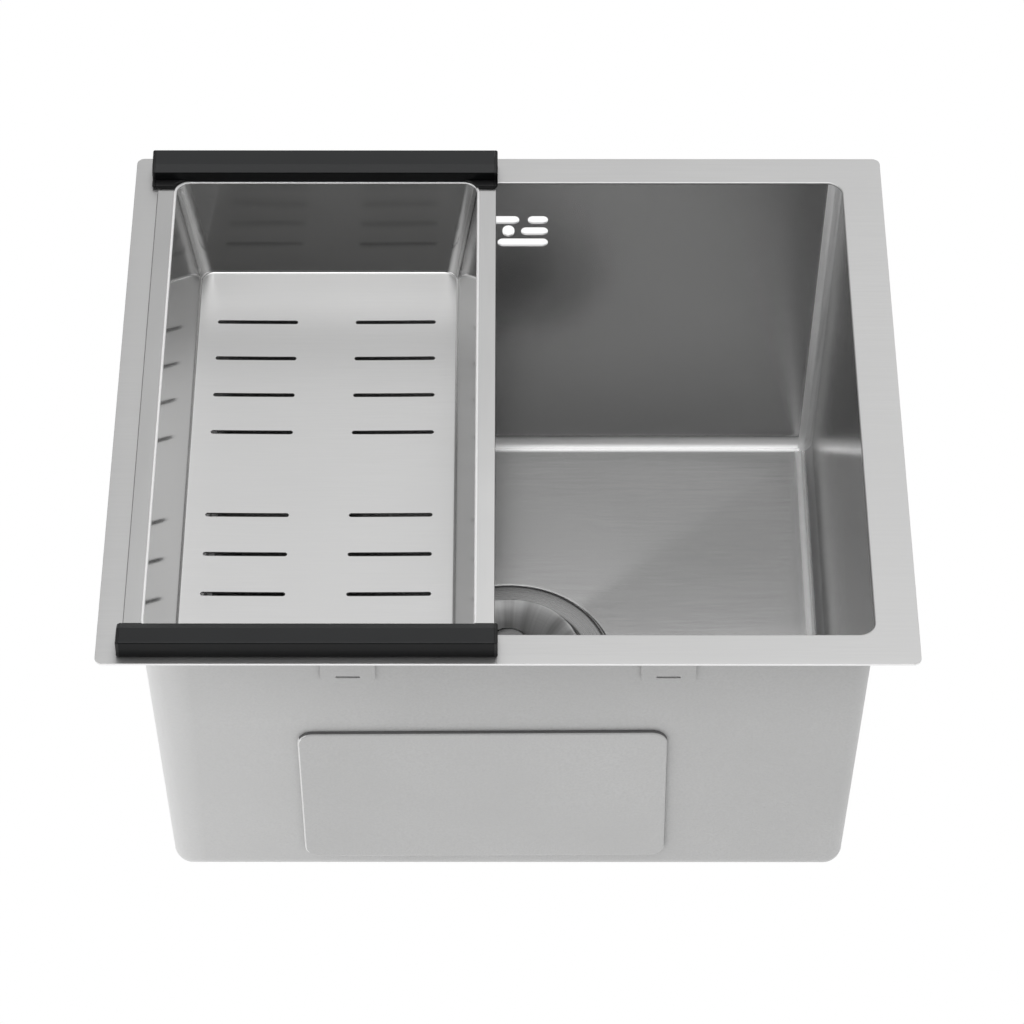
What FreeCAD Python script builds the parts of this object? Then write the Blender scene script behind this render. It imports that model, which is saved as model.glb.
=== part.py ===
import FreeCAD, Part
import Sketcher
import math
import os
from FreeCAD import Vector, Placement, Rotation

os.makedirs("parts", exist_ok=True)
doc = FreeCAD.newDocument("workstation_sink")

# ---------------------------------------------------------------------------
# Driving dimensions, millimetres.
# X runs left to right, Y front to back, Z up. Z = 0 is the underside of the
# rim, which lies on the worktop, and X = Y = 0 is the centre of the rim.
# ---------------------------------------------------------------------------
DIMS = [
    # rim and bowl
    ("rim_x", 250.0), ("rim_y", 225.0), ("rim_corner", 5.0), ("sheet", 1.5),
    ("open_x", 223.2), ("open_y", 201.0), ("bowl_corner", 10.0),
    ("floor_x", 214.1), ("floor_back", 188.6), ("floor_front", 191.5),
    ("floor_z", 237.0), ("fold_in", 8.0), ("dish", 2.5),
    ("dish_x", 30.0), ("dish_y", 34.0),
    # waste opening
    ("drain_y", 16.0), ("seat_r", 71.0), ("seat_z", 239.4), ("hole_r", 57.0),
    ("flange_r", 69.5), ("lip_r", 52.4),
    # overflow slots in the rear wall
    ("slot_high", 6.7), ("slot_z1", 30.9), ("slot_z2", 40.8), ("slot_z3", 50.7),
    ("slot_long", 34.0), ("slot_mid", 18.2), ("slot_short", 13.6), ("dot_wide", 8.0),
    ("slot_end", 26.7),
    # sound pads
    ("pad_thick", 3.0), ("pad_corner", 10.0), ("pad_high", 128.5),
    ("pad_front_w", 231.2), ("pad_rear_w", 230.0), ("pad_side_w", 210.0),
    ("pad_base_w", 92.0), ("pad_base_l", 290.0), ("pad_z", 156.3),
    # clip brackets
    ("brk_w", 34.0), ("brk_h", 34.0), ("brk_t", 2.0), ("brk_slot_w", 15.2),
    ("brk_slot_h", 1.7), ("brk_x", 98.4), ("brk_y", 90.0),
    # colander tray
    ("tray_x0", 121.4), ("tray_sheet", 1.0), ("tray_fx", 113.2), ("tray_fy", 212.5),
    ("tray_in_x", 100.5), ("tray_in_y", 199.6), ("tray_z", 1.8),
    ("tray_floor_x", 87.2), ("tray_floor_y", 187.5), ("tray_floor_z", 68.5),
    ("tray_corner", 9.0),
    ("t_slot_l", 53.8), ("t_slot_w", 3.2), ("t_pitch", 34.2), ("t_first", 37.0),
    ("t_col_l", 47.0), ("t_col_r", 45.6),
    # colander handles
    ("hand_x", 112.8), ("hand_in", 200.5), ("hand_deep", 19.2), ("cap_t", 2.0),
    ("hand_z", 2.8), ("hand_b", 11.0), ("hand_m", 13.5), ("hand_c", 14.6),
    ("leg_in", 12.7), ("leg_z", 2.2), ("strip_in", 13.4), ("strip_out", 18.4),
    ("stud_r", 2.0), ("stud_pitch", 90.0), ("stud_y", 206.8),
    # basket and waste body
    ("knob_r", 15.9), ("knob_z", 218.5), ("stem_r", 4.0), ("cup_r", 34.2),
    ("cup_z", 277.6), ("cup_sheet", 0.9), ("well_r", 36.0), ("well_z", 283.0),
    ("seal_r", 22.0), ("body_r", 70.0), ("thread_r", 23.9), ("outlet_z", 330.0),
    ("spigot_r", 9.0), ("spigot_z", 277.0),
]
P = dict(DIMS)
sheet = doc.addObject("Spreadsheet::Sheet", "Params")
for i, (name, value) in enumerate(DIMS, start=1):
    sheet.set("A%d" % i, name)
    sheet.set("B%d" % i, str(value))
    sheet.setAlias("B%d" % i, name)
doc.recompute()


class Q:
    """A length: its value now, and the expression that drives it."""

    def __init__(self, value, text):
        self.v, self.t = float(value), text

    def __add__(self, other):
        o = q(other)
        return Q(self.v + o.v, "%s + %s" % (self.t, o.t))

    def __sub__(self, other):
        o = q(other)
        return Q(self.v - o.v, "%s - (%s)" % (self.t, o.t))

    def __mul__(self, k):
        return Q(self.v * k, "(%s) * %r" % (self.t, float(k)))

    def __neg__(self):
        return Q(-self.v, "-(%s)" % self.t)


def q(x):
    if isinstance(x, Q):
        return x
    if isinstance(x, str):
        return Q(P[x], "Params.%s" % x)
    return Q(x, "%r" % float(x))


def drive(obj, prop, length):
    length = q(length)
    obj.setExpression(prop, length.t)


def new_body(name):
    body = doc.addObject("PartDesign::Body", name)
    body.Label = name
    return body


def plane(body, role):
    return [f for f in body.Origin.OriginFeatures if f.Role == role][0]


def new_sketch(body, name, role="XY_Plane", offset=0.0):
    sk = body.newObject("Sketcher::SketchObject", name)
    sk.AttachmentSupport = [(plane(body, role), "")]
    sk.MapMode = "FlatFace"
    off = q(offset)
    sk.AttachmentOffset = Placement(Vector(0, 0, off.v), Rotation())
    if off.v != 0.0:
        sk.setExpression(".AttachmentOffset.Base.z", off.t)
    return sk


def pin_point(sk, geo, pos, x, y):
    """Hold one point of a sketch at x, y from its origin."""
    x, y = q(x), q(y)
    if abs(x.v) < 1e-9:
        sk.addConstraint(Sketcher.Constraint("PointOnObject", geo, pos, -2))
    else:
        if x.v > 0:
            i = sk.addConstraint(Sketcher.Constraint("DistanceX", -1, 1, geo, pos, x.v))
            sk.setExpression("Constraints[%d]" % i, x.t)
        else:
            i = sk.addConstraint(Sketcher.Constraint("DistanceX", geo, pos, -1, 1, -x.v))
            sk.setExpression("Constraints[%d]" % i, (-x).t)
    if abs(y.v) < 1e-9:
        sk.addConstraint(Sketcher.Constraint("PointOnObject", geo, pos, -1))
    else:
        if y.v > 0:
            i = sk.addConstraint(Sketcher.Constraint("DistanceY", -1, 1, geo, pos, y.v))
            sk.setExpression("Constraints[%d]" % i, y.t)
        else:
            i = sk.addConstraint(Sketcher.Constraint("DistanceY", geo, pos, -1, 1, -y.v))
            sk.setExpression("Constraints[%d]" % i, (-y).t)


def rounded_rect(sk, xl, xr, yb, yt, r):
    """A rounded rectangle from -xl to xr and -yb to yt about the sketch origin."""
    xl, xr, yb, yt, r = q(xl), q(xr), q(yb), q(yt), q(r)
    a, b, c, d, k = -xl.v, xr.v, -yb.v, yt.v, r.v
    L = Part.LineSegment
    sk.addGeometry(L(Vector(a + k, c, 0), Vector(b - k, c, 0)), False)
    sk.addGeometry(L(Vector(b, c + k, 0), Vector(b, d - k, 0)), False)
    sk.addGeometry(L(Vector(b - k, d, 0), Vector(a + k, d, 0)), False)
    sk.addGeometry(L(Vector(a, d - k, 0), Vector(a, c + k, 0)), False)

    def arc(cx, cy, a0, a1):
        circle = Part.Circle(Vector(cx, cy, 0), Vector(0, 0, 1), k)
        sk.addGeometry(Part.ArcOfCircle(circle, a0, a1), False)

    arc(b - k, c + k, 1.5 * math.pi, 2 * math.pi)
    arc(b - k, d - k, 0.0, 0.5 * math.pi)
    arc(a + k, d - k, 0.5 * math.pi, math.pi)
    arc(a + k, c + k, math.pi, 1.5 * math.pi)
    C = Sketcher.Constraint
    for line, pos, arc_id, apos in (
        (0, 2, 4, 1), (1, 1, 4, 2), (1, 2, 5, 1), (2, 1, 5, 2),
        (2, 2, 6, 1), (3, 1, 6, 2), (3, 2, 7, 1), (0, 1, 7, 2),
    ):
        sk.addConstraint(C("Tangent", line, pos, arc_id, apos))
    sk.addConstraint(C("Horizontal", 0))
    sk.addConstraint(C("Horizontal", 2))
    sk.addConstraint(C("Vertical", 1))
    sk.addConstraint(C("Vertical", 3))
    for other in (5, 6, 7):
        sk.addConstraint(C("Equal", 4, other))
    i = sk.addConstraint(C("Radius", 4, k))
    sk.setExpression("Constraints[%d]" % i, r.t)
    for first, second, kind, length in (
        ((-1, 1), (1, 1), "DistanceX", xr), ((3, 1), (-1, 1), "DistanceX", xl),
        ((-1, 1), (2, 1), "DistanceY", yt), ((0, 1), (-1, 1), "DistanceY", yb),
    ):
        i = sk.addConstraint(C(kind, first[0], first[1], second[0], second[1], length.v))
        sk.setExpression("Constraints[%d]" % i, length.t)


def polygon(sk, points):
    """A closed polygon through driven points."""
    pts = [(q(x), q(y)) for x, y in points]
    n = len(pts)
    for i in range(n):
        x0, y0 = pts[i]
        x1, y1 = pts[(i + 1) % n]
        sk.addGeometry(Part.LineSegment(Vector(x0.v, y0.v, 0), Vector(x1.v, y1.v, 0)), False)
    for i in range(n):
        sk.addConstraint(Sketcher.Constraint("Coincident", i, 2, (i + 1) % n, 1))
    for i in range(n):
        pin_point(sk, i, 1, pts[i][0], pts[i][1])


def circle(sk, r, x=0.0, y=0.0):
    r = q(r)
    x, y = q(x), q(y)
    g = sk.addGeometry(Part.Circle(Vector(x.v, y.v, 0), Vector(0, 0, 1), r.v), False)
    i = sk.addConstraint(Sketcher.Constraint("Radius", g, r.v))
    sk.setExpression("Constraints[%d]" % i, r.t)
    if abs(x.v) < 1e-9 and abs(y.v) < 1e-9:
        sk.addConstraint(Sketcher.Constraint("Coincident", g, 3, -1, 1))
    else:
        pin_point(sk, g, 3, x, y)


def obround(sk, x, y, length, high):
    """A slot with round ends, centred on x, y; upright when high > length."""
    x, y, length, high = q(x), q(y), q(length), q(high)
    upright = high.v > length.v
    r = (length if upright else high) * 0.5
    half = (high if upright else length) * 0.5 - r
    base = sk.GeometryCount
    Z = Vector(0, 0, 1)
    if upright:
        c1, c2 = (x, y - half), (x, y + half)
        ang = (math.pi, 2 * math.pi), (0.0, math.pi)
    else:
        c1, c2 = (x - half, y), (x + half, y)
        ang = (0.5 * math.pi, 1.5 * math.pi), (-0.5 * math.pi, 0.5 * math.pi)
    for (cx, cy), (a0, a1) in zip((c1, c2), ang):
        sk.addGeometry(Part.ArcOfCircle(Part.Circle(Vector(cx.v, cy.v, 0), Z, r.v), a0, a1), False)
    if upright:
        ends = ((r.v, -1, half.v), (-r.v, -1, half.v))
        sk.addGeometry(Part.LineSegment(Vector(x.v + r.v, y.v - half.v, 0), Vector(x.v + r.v, y.v + half.v, 0)), False)
        sk.addGeometry(Part.LineSegment(Vector(x.v - r.v, y.v + half.v, 0), Vector(x.v - r.v, y.v - half.v, 0)), False)
        pairs = ((base + 2, 1, base, 2), (base + 2, 2, base + 1, 1), (base + 3, 1, base + 1, 2), (base + 3, 2, base, 1))
    else:
        sk.addGeometry(Part.LineSegment(Vector(x.v - half.v, y.v - r.v, 0), Vector(x.v + half.v, y.v - r.v, 0)), False)
        sk.addGeometry(Part.LineSegment(Vector(x.v + half.v, y.v + r.v, 0), Vector(x.v - half.v, y.v + r.v, 0)), False)
        pairs = ((base + 2, 1, base, 2), (base + 2, 2, base + 1, 1), (base + 3, 1, base + 1, 2), (base + 3, 2, base, 1))
    for a, ap, b, bp in pairs:
        sk.addConstraint(Sketcher.Constraint("Tangent", a, ap, b, bp))
    sk.addConstraint(Sketcher.Constraint("Equal", base, base + 1))
    i = sk.addConstraint(Sketcher.Constraint("Radius", base, r.v))
    sk.setExpression("Constraints[%d]" % i, r.t)
    pin_point(sk, base, 3, c1[0], c1[1])
    if upright:
        pin_only(sk, base + 1, c2[1], "y")
    else:
        pin_only(sk, base + 1, c2[0], "x")


def pin_only(sk, geo, length, way):
    kind = "DistanceX" if way == "x" else "DistanceY"
    length = q(length)
    if abs(length.v) < 1e-9:
        sk.addConstraint(Sketcher.Constraint("PointOnObject", geo, 3, -2 if way == "x" else -1))
    elif length.v > 0:
        i = sk.addConstraint(Sketcher.Constraint(kind, -1, 1, geo, 3, length.v))
        sk.setExpression("Constraints[%d]" % i, length.t)
    else:
        i = sk.addConstraint(Sketcher.Constraint(kind, geo, 3, -1, 1, -length.v))
        sk.setExpression("Constraints[%d]" % i, (-length).t)


def pad(body, sk, length, reverse=False, mid=False, name=None):
    f = body.newObject("PartDesign::Pad", name or (sk.Name + "_pad"))
    f.Profile = sk
    f.Length = q(length).v
    drive(f, "Length", length)
    f.Reversed = reverse
    f.Midplane = mid
    sk.Visibility = False
    return f


def pocket(body, sk, length, reverse=False, mid=False, through=False):
    """Cut, and make sure that material really left the solid."""
    doc.recompute()
    before = body.Shape.Volume
    f = body.newObject("PartDesign::Pocket", sk.Name + "_cut")
    f.Profile = sk
    if through:
        f.Type = 1
        f.Midplane = mid
    else:
        f.Length = q(length).v
        drive(f, "Length", length)
        f.Midplane = mid
    f.Reversed = reverse
    doc.recompute()
    if not body.Shape.Volume < before - 1e-3:
        raise RuntimeError("%s cuts nothing" % f.Name)
    return f


def loft(body, kind, first, second, ruled=True):
    f = body.newObject("PartDesign::%sLoft" % kind, first.Name + "_loft")
    f.Profile = first
    f.Sections = [second]
    f.Ruled = ruled
    f.Closed = False
    return f


def revolve(name, points, role="XZ_Plane"):
    """A turned piece about its own Z axis."""
    body = new_body(name)
    sk = new_sketch(body, name + "_profile", role)
    polygon(sk, points)
    f = body.newObject("PartDesign::Revolution", name + "_turn")
    f.Profile = sk
    f.ReferenceAxis = (sk, ["V_Axis"])
    f.Angle = 360.0
    doc.recompute()
    return body


def edges_where(shape, test):
    out = []
    for i, e in enumerate(shape.Edges, start=1):
        if test(e):
            out.append("Edge%d" % i)
    return out


def fillet(body, base, test, r):
    doc.recompute()
    names = edges_where(base.Shape, test)
    if not names:
        raise RuntimeError("no edge found for a fillet on %s" % body.Label)
    f = body.newObject("PartDesign::Fillet", base.Name + "_round")
    f.Base = (base, names)
    f.Radius = q(r).v
    drive(f, "Radius", r)
    doc.recompute()
    return f


def flat_at(z, tol=0.02):
    return lambda e: abs(e.BoundBox.ZMin - z) < tol and abs(e.BoundBox.ZMax - z) < tol


NODES = []


def keep(obj, label=None):
    if label:
        obj.Label = label
    NODES.append(obj)
    return obj


def place(obj, x=0.0, y=0.0, z=0.0, rot=None):
    x, y, z = q(x), q(y), q(z)
    obj.Placement = Placement(Vector(x.v, y.v, z.v), rot or Rotation())
    for axis, length in (("x", x), ("y", y), ("z", z)):
        if length.v != 0.0:
            obj.setExpression(".Placement.Base.%s" % axis, length.t)


# ---------------------------------------------------------------------------
# Bowl: flat rim, tapered walls with 10 mm corners, folded floor that falls on
# four facets to the waste, one sheet thickness all over.
# ---------------------------------------------------------------------------
t = q("sheet")
bowl = new_body("bowl_shell")
s = new_sketch(bowl, "rim_outline")
rounded_rect(s, "rim_x", "rim_x", "rim_y", "rim_y", "rim_corner")
pad(bowl, s, "sheet")

s1 = new_sketch(bowl, "wall_top")
rounded_rect(s1, q("open_x") + t, q("open_x") + t, q("open_y") + t, q("open_y") + t, q("bowl_corner") + t)
s2 = new_sketch(bowl, "wall_foot", offset=-(q("floor_z") + t))
rounded_rect(s2, q("floor_x") + t, q("floor_x") + t, q("floor_front") + t, q("floor_back") + t, q("bowl_corner") + t)
outer = loft(bowl, "Additive", s1, s2)
z_out = -(P["floor_z"] + P["sheet"])
outer_round = fillet(bowl, outer, flat_at(z_out), q("fold_in") + t)

inset = q("fold_in") + 0.6
s3 = new_sketch(bowl, "fall_top", offset=-(q("floor_z") + t))
polygon(s3, [(-(q("floor_x") - inset), -(q("floor_front") - inset)), (q("floor_x") - inset, -(q("floor_front") - inset)),
             (q("floor_x") - inset, q("floor_back") - inset), (-(q("floor_x") - inset), q("floor_back") - inset)])
s4 = new_sketch(bowl, "fall_foot", offset=-(q("floor_z") + t + "dish"))
polygon(s4, [(-q("dish_x"), -(q("dish_y") + "drain_y")), (q("dish_x"), -(q("dish_y") + "drain_y")),
             (q("dish_x"), q("dish_y") - "drain_y"), (-q("dish_x"), q("dish_y") - "drain_y")])
loft(bowl, "Additive", s3, s4)

s = new_sketch(bowl, "seat_boss", offset=-(q("seat_z") + t))
circle(s, q("seat_r") + t, 0.0, -q("drain_y"))
pad(bowl, s, 2.0)
doc.recompute()

# the inside of the bowl, formed as a solid of its own and cut out
hollow = new_body("bowl_inside_form")
c1 = new_sketch(hollow, "cavity_top", offset=t + 0.0)
rounded_rect(c1, "open_x", "open_x", "open_y", "open_y", "bowl_corner")
c2 = new_sketch(hollow, "cavity_foot", offset=-q("floor_z"))
rounded_rect(c2, "floor_x", "floor_x", "floor_front", "floor_back", "bowl_corner")
cavity = loft(hollow, "Additive", c1, c2)
fillet(hollow, cavity, flat_at(-P["floor_z"]), "fold_in")
c3 = new_sketch(hollow, "fall_in_top", offset=-q("floor_z"))
polygon(c3, [(-(q("floor_x") - inset), -(q("floor_front") - inset)), (q("floor_x") - inset, -(q("floor_front") - inset)),
             (q("floor_x") - inset, q("floor_back") - inset), (-(q("floor_x") - inset), q("floor_back") - inset)])
c4 = new_sketch(hollow, "fall_in_foot", offset=-(q("floor_z") + "dish"))
polygon(c4, [(-q("dish_x"), -(q("dish_y") + "drain_y")), (q("dish_x"), -(q("dish_y") + "drain_y")),
             (q("dish_x"), q("dish_y") - "drain_y"), (-q("dish_x"), q("dish_y") - "drain_y")])
loft(hollow, "Additive", c3, c4)
s = new_sketch(hollow, "seat_form", offset=-q("seat_z"))
circle(s, "seat_r", 0.0, -q("drain_y"))
pad(hollow, s, 6.0)
s = new_sketch(hollow, "waste_hole", offset=-(q("seat_z") + 5.0))
circle(s, "hole_r", 0.0, -q("drain_y"))
pad(hollow, s, 12.0)
doc.recompute()
whole = bowl.Shape.Volume
cut_out = bowl.newObject("PartDesign::Boolean", "bowl_inside")
cut_out.setObjects([hollow])
cut_out.Type = "Cut"
doc.recompute()
if not bowl.Shape.Volume < 0.1 * whole:
    raise RuntimeError("the bowl is not hollow")

# overflow: three staggered rows of slots round one upright dot, point symmetric
s = new_sketch(bowl, "overflow", role="XZ_Plane", offset=-205.0)
e = q("slot_end")
z1, z2, z3 = -q("slot_z1"), -q("slot_z2"), -q("slot_z3")
obround(s, -(e - q("slot_long") * 0.5), z1, "slot_long", "slot_high")
obround(s, e - q("slot_short") * 0.5, z1, "slot_short", "slot_high")
obround(s, -(e - q("slot_mid") * 0.5), z2, "slot_mid", "slot_high")
obround(s, e - q("slot_mid") * 0.5, z2, "slot_mid", "slot_high")
obround(s, 0.0, z2 + 0.2, "dot_wide", 9.8)
obround(s, -(e - q("slot_short") * 0.5), z3, "slot_short", "slot_high")
obround(s, e - q("slot_long") * 0.5, z3, "slot_long", "slot_high")
overflow = pocket(bowl, s, 16.0, reverse=True)


def rim_mouth(e):
    b = e.BoundBox
    return (abs(b.ZMin - P["sheet"]) < 0.01 and abs(b.ZMax - P["sheet"]) < 0.01
            and b.XMin > -P["open_x"] - 0.1 and b.XMax < P["open_x"] + 0.1
            and b.YMin > -P["open_y"] - 0.1 and b.YMax < P["open_y"] + 0.1)


fillet(bowl, overflow, rim_mouth, 1.0)
keep(bowl)

# ---------------------------------------------------------------------------
# Sound pads bonded to the outside of the walls and under the floor.
# ---------------------------------------------------------------------------
side_tilt = math.degrees(math.atan2(P["open_x"] - P["floor_x"], P["floor_z"] + P["sheet"]))
front_tilt = math.degrees(math.atan2(P["open_y"] - P["floor_front"], P["floor_z"] + P["sheet"]))
back_tilt = math.degrees(math.atan2(P["open_y"] - P["floor_back"], P["floor_z"] + P["sheet"]))


def sound_pad(name, wide, high, thick="pad_thick"):
    body = new_body(name)
    s = new_sketch(body, name + "_outline")
    w, k = q(wide) * 0.5, q(high) * 0.5
    rounded_rect(s, w, w, k, k, "pad_corner")
    f = pad(body, s, thick)
    fillet(body, f, flat_at(P["pad_thick"]), 0.9)
    return body


def wall_y(z, front):
    """Outer face of the front or rear wall at height z."""
    foot = P["floor_front"] if front else P["floor_back"]
    k = -z / (P["floor_z"] + P["sheet"])
    y = (P["open_y"] + (foot - P["open_y"]) * k) + P["sheet"]
    return -y if front else y


def wall_x(z):
    k = -z / (P["floor_z"] + P["sheet"])
    return P["open_x"] + (P["floor_x"] - P["open_x"]) * k + P["sheet"]


gap = 0.03
pz = -P["pad_z"]
X, Y, Z = Vector(1, 0, 0), Vector(0, 1, 0), Vector(0, 0, 1)
# local z is the outward normal of each wall, which leans down by the taper
pf = sound_pad("front_sound_pad", "pad_front_w", "pad_high")
pf.Placement = Placement(Vector(-15.6, wall_y(pz, True) - gap, pz), Rotation(X, 90 + front_tilt) * Rotation(Z, 0.5))
keep(pf)
pr = sound_pad("rear_sound_pad", "pad_rear_w", "pad_high")
pr.Placement = Placement(Vector(0, wall_y(pz, False) + gap, pz), Rotation(Z, 180) * Rotation(X, 90 + back_tilt))
keep(pr)
pl = sound_pad("left_sound_pad", "pad_side_w", "pad_high")
pl.Placement = Placement(Vector(-wall_x(pz) - gap, 0, pz), Rotation(Z, -90) * Rotation(X, 90 + side_tilt))
keep(pl)
pq = sound_pad("right_sound_pad", "pad_side_w", "pad_high")
pq.Placement = Placement(Vector(wall_x(pz) + gap, 0, pz), Rotation(Z, 90) * Rotation(X, 90 + side_tilt))
keep(pq)
# the floor facets fall towards the waste, so the pads below them lean the same way
run = (P["floor_x"] - P["fold_in"] - 0.6) - P["dish_x"]
fall = math.degrees(math.atan2(P["dish"], run))
px_ = 141.0
pz_ = -(P["floor_z"] + P["sheet"]) - P["dish"] * ((P["floor_x"] - P["fold_in"] - 0.6) - px_) / run
for side, name in ((-1, "base_left_sound_pad"), (1, "base_right_sound_pad")):
    pb = sound_pad(name, "pad_base_w", "pad_base_l")
    pb.Placement = Placement(Vector(side * px_, 0, pz_ - gap - 0.02), Rotation(Y, -side * fall) * Rotation(X, 180))
    keep(pb)

# ---------------------------------------------------------------------------
# Clip brackets welded under the rim, eight alike: a plate with one slot.
# ---------------------------------------------------------------------------
master = new_body("bracket_pattern")
s = new_sketch(master, "bracket_outline")
hw, hh = q("brk_w") * 0.5, q("brk_h") * 0.5
rounded_rect(s, hw, hw, hh, hh, 5.0)
f = pad(master, s, "brk_t")
fillet(master, f, flat_at(P["brk_t"]), 0.8)
s = new_sketch(master, "bracket_slot", offset="brk_t")
obround(s, 0.0, -11.1, "brk_slot_w", "brk_slot_h")
pocket(master, s, 6.0)
doc.recompute()
brk_z = -25.1
brk = master.Shape.copy()
brk.Placement = Placement()
solids = []
for bx in (-P["brk_x"], P["brk_x"]):
    for front in (True, False):
        turn = Rotation(X, 90 + front_tilt) if front else Rotation(Z, 180) * Rotation(X, 90 + back_tilt)
        one = brk.copy()
        y = wall_y(brk_z, front)
        one.Placement = Placement(Vector(bx, y - gap if front else y + gap, brk_z), turn)
        solids.append(one)
for side in (-1, 1):
    for by in (-P["brk_y"], P["brk_y"]):
        one = brk.copy()
        one.Placement = Placement(Vector(side * (wall_x(brk_z) + gap), by, brk_z),
                                  Rotation(Z, 90 * side) * Rotation(X, 90 + side_tilt))
        solids.append(one)
brackets = doc.addObject("Part::Feature", "clip_brackets")
brackets.Shape = Part.makeCompound(solids)
keep(brackets, "clip_brackets")

# ---------------------------------------------------------------------------
# Waste: steel flange with its well, gaskets, moulded body, clamping screw.
# Each turned piece is drawn about its own axis and set over the drain.
# ---------------------------------------------------------------------------
dy = -q("drain_y")
R = q("flange_r")
W = q("well_r")
wz = -q("well_z")
flange = revolve("strainer_flange", [
    (R, -238.6), (R, -237.8), (R - 0.9, -237.1), (R - 2.5, -236.9), (56.0, -237.4), (54.2, -237.7),
    (53.4, -238.4), (53.2, -239.4), (50.6, -239.6), (49.2, -240.6), (W + 1.0, -254.0), (W, -256.0),
    (W, wz + 1.0), (W - 1.0, wz), (9.5, wz), (8.5, wz - 3.5), (3.3, wz - 3.5), (3.3, wz - 4.7),
    (9.7, wz - 4.7), (10.7, wz - 1.2), (W, wz - 1.2), (W + 1.1, wz), (W + 1.1, -256.3), (W + 2.0, -254.6),
    (50.2, -241.8), (51.4, -240.9), (54.6, -240.7), (55.6, -239.6), (56.2, -238.6)])
s = new_sketch(flange, "well_holes", offset=wz - 3.0)
circle(s, 5.2, 17.0, 0.0)
cut = pocket(flange, s, 6.0, reverse=True)
ring = flange.newObject("PartDesign::PolarPattern", "well_hole_ring")
ring.Originals = [cut]
ring.Axis = ([f for f in flange.Origin.OriginFeatures if f.Role == "Z_Axis"][0], [""])
ring.Angle = 360.0
ring.Occurrences = 6
flange.Tip = ring
place(flange, y=dy)
keep(flange)

gask = revolve("flange_gasket", [(57.6, -239.4), (67.0, -239.4), (67.0, -238.6), (57.6, -238.6)])
place(gask, y=dy)
keep(gask)
bgask = revolve("body_gasket", [(58.0, -242.9), (68.0, -242.9), (68.0, -240.9), (58.0, -240.9)])
place(bgask, y=dy)
keep(bgask)

B = q("body_r")
TR = q("thread_r")
oz = -q("outlet_z")
wbody = revolve("strainer_body", [
    (55.2, -242.9), (B, -242.9), (B, -246.5), (57.0, -248.0), (44.0, -262.0), (41.7, -265.0), (41.7, -291.0),
    (38.0, -294.5), (27.0, -297.0), (TR, -299.5), (TR, oz), (19.5, oz), (19.5, -298.0), (22.0, -294.5),
    (36.5, -291.5), (38.5, -289.0), (38.5, -264.0), (41.2, -260.4), (53.4, -246.6), (55.2, -244.8)])
# spider that takes the clamping screw
s = new_sketch(wbody, "boss", offset=-312.0)
circle(s, 7.0)
f_boss = wbody.newObject("PartDesign::Pad", "boss_pad")
f_boss.Profile = s
f_boss.Length = 23.6
s = new_sketch(wbody, "ribs", offset=-312.0)
polygon(s, [(-1.5, -20.5), (1.5, -20.5), (1.5, 20.5), (-1.5, 20.5)])
f_rib = wbody.newObject("PartDesign::Pad", "rib_pad")
f_rib.Profile = s
f_rib.Length = 12.0
s = new_sketch(wbody, "ribs_across", offset=-312.0)
polygon(s, [(-20.5, -1.5), (20.5, -1.5), (20.5, 1.5), (-20.5, 1.5)])
f_rib2 = wbody.newObject("PartDesign::Pad", "rib_across_pad")
f_rib2.Profile = s
f_rib2.Length = 12.0
s = new_sketch(wbody, "insert_hole", offset=-288.0)
circle(s, 4.6)
pocket(wbody, s, 20.0)
# inlet for an overflow pipe, towards the rear wall
s = new_sketch(wbody, "inlet", role="XZ_Plane", offset=-72.0)
circle(s, "spigot_r", 0.0, -q("spigot_z"))
f_in = wbody.newObject("PartDesign::Pad", "inlet_pad")
f_in.Profile = s
f_in.Length = 32.0
doc.recompute()
s = new_sketch(wbody, "inlet_bore", role="XZ_Plane", offset=-73.0)
circle(s, 6.3, 0.0, -q("spigot_z"))
pocket(wbody, s, 38.0, reverse=True)
place(wbody, y=dy)
keep(wbody)

ins = revolve("screw_insert", [(3.0, -308.0), (4.6, -308.0), (4.6, -288.4), (3.0, -288.4)])
place(ins, y=dy)
keep(ins)
scr = revolve("clamp_screw", [
    (0.0, wz - 22.0), (2.6, wz - 22.0), (3.0, wz - 21.0), (3.0, wz - 3.5), (5.6, wz - 3.5),
    (5.6, wz - 1.6), (4.6, wz - 0.6), (0.0, wz - 0.6)])
place(scr, y=dy)
keep(scr)
cap = new_body("overflow_inlet_cap")
s = new_sketch(cap, "cap_face", role="XZ_Plane", offset=-76.0)
circle(s, 12.0, 0.0, -q("spigot_z"))
f_c = cap.newObject("PartDesign::Pad", "cap_pad")
f_c.Profile = s
f_c.Length = 14.0
doc.recompute()
s = new_sketch(cap, "cap_bore", role="XZ_Plane", offset=-61.0)
circle(s, q("spigot_r") + 0.0, 0.0, -q("spigot_z"))
pocket(cap, s, 12.5)
place(cap, y=dy)
keep(cap)
wash = new_body("inlet_cap_washer")
s = new_sketch(wash, "washer_face", role="XZ_Plane", offset=-73.5)
circle(s, 8.8, 0.0, -q("spigot_z"))
f_w = wash.newObject("PartDesign::Pad", "washer_pad")
f_w.Profile = s
f_w.Length = 1.5
place(wash, y=dy)
keep(wash)

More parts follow.
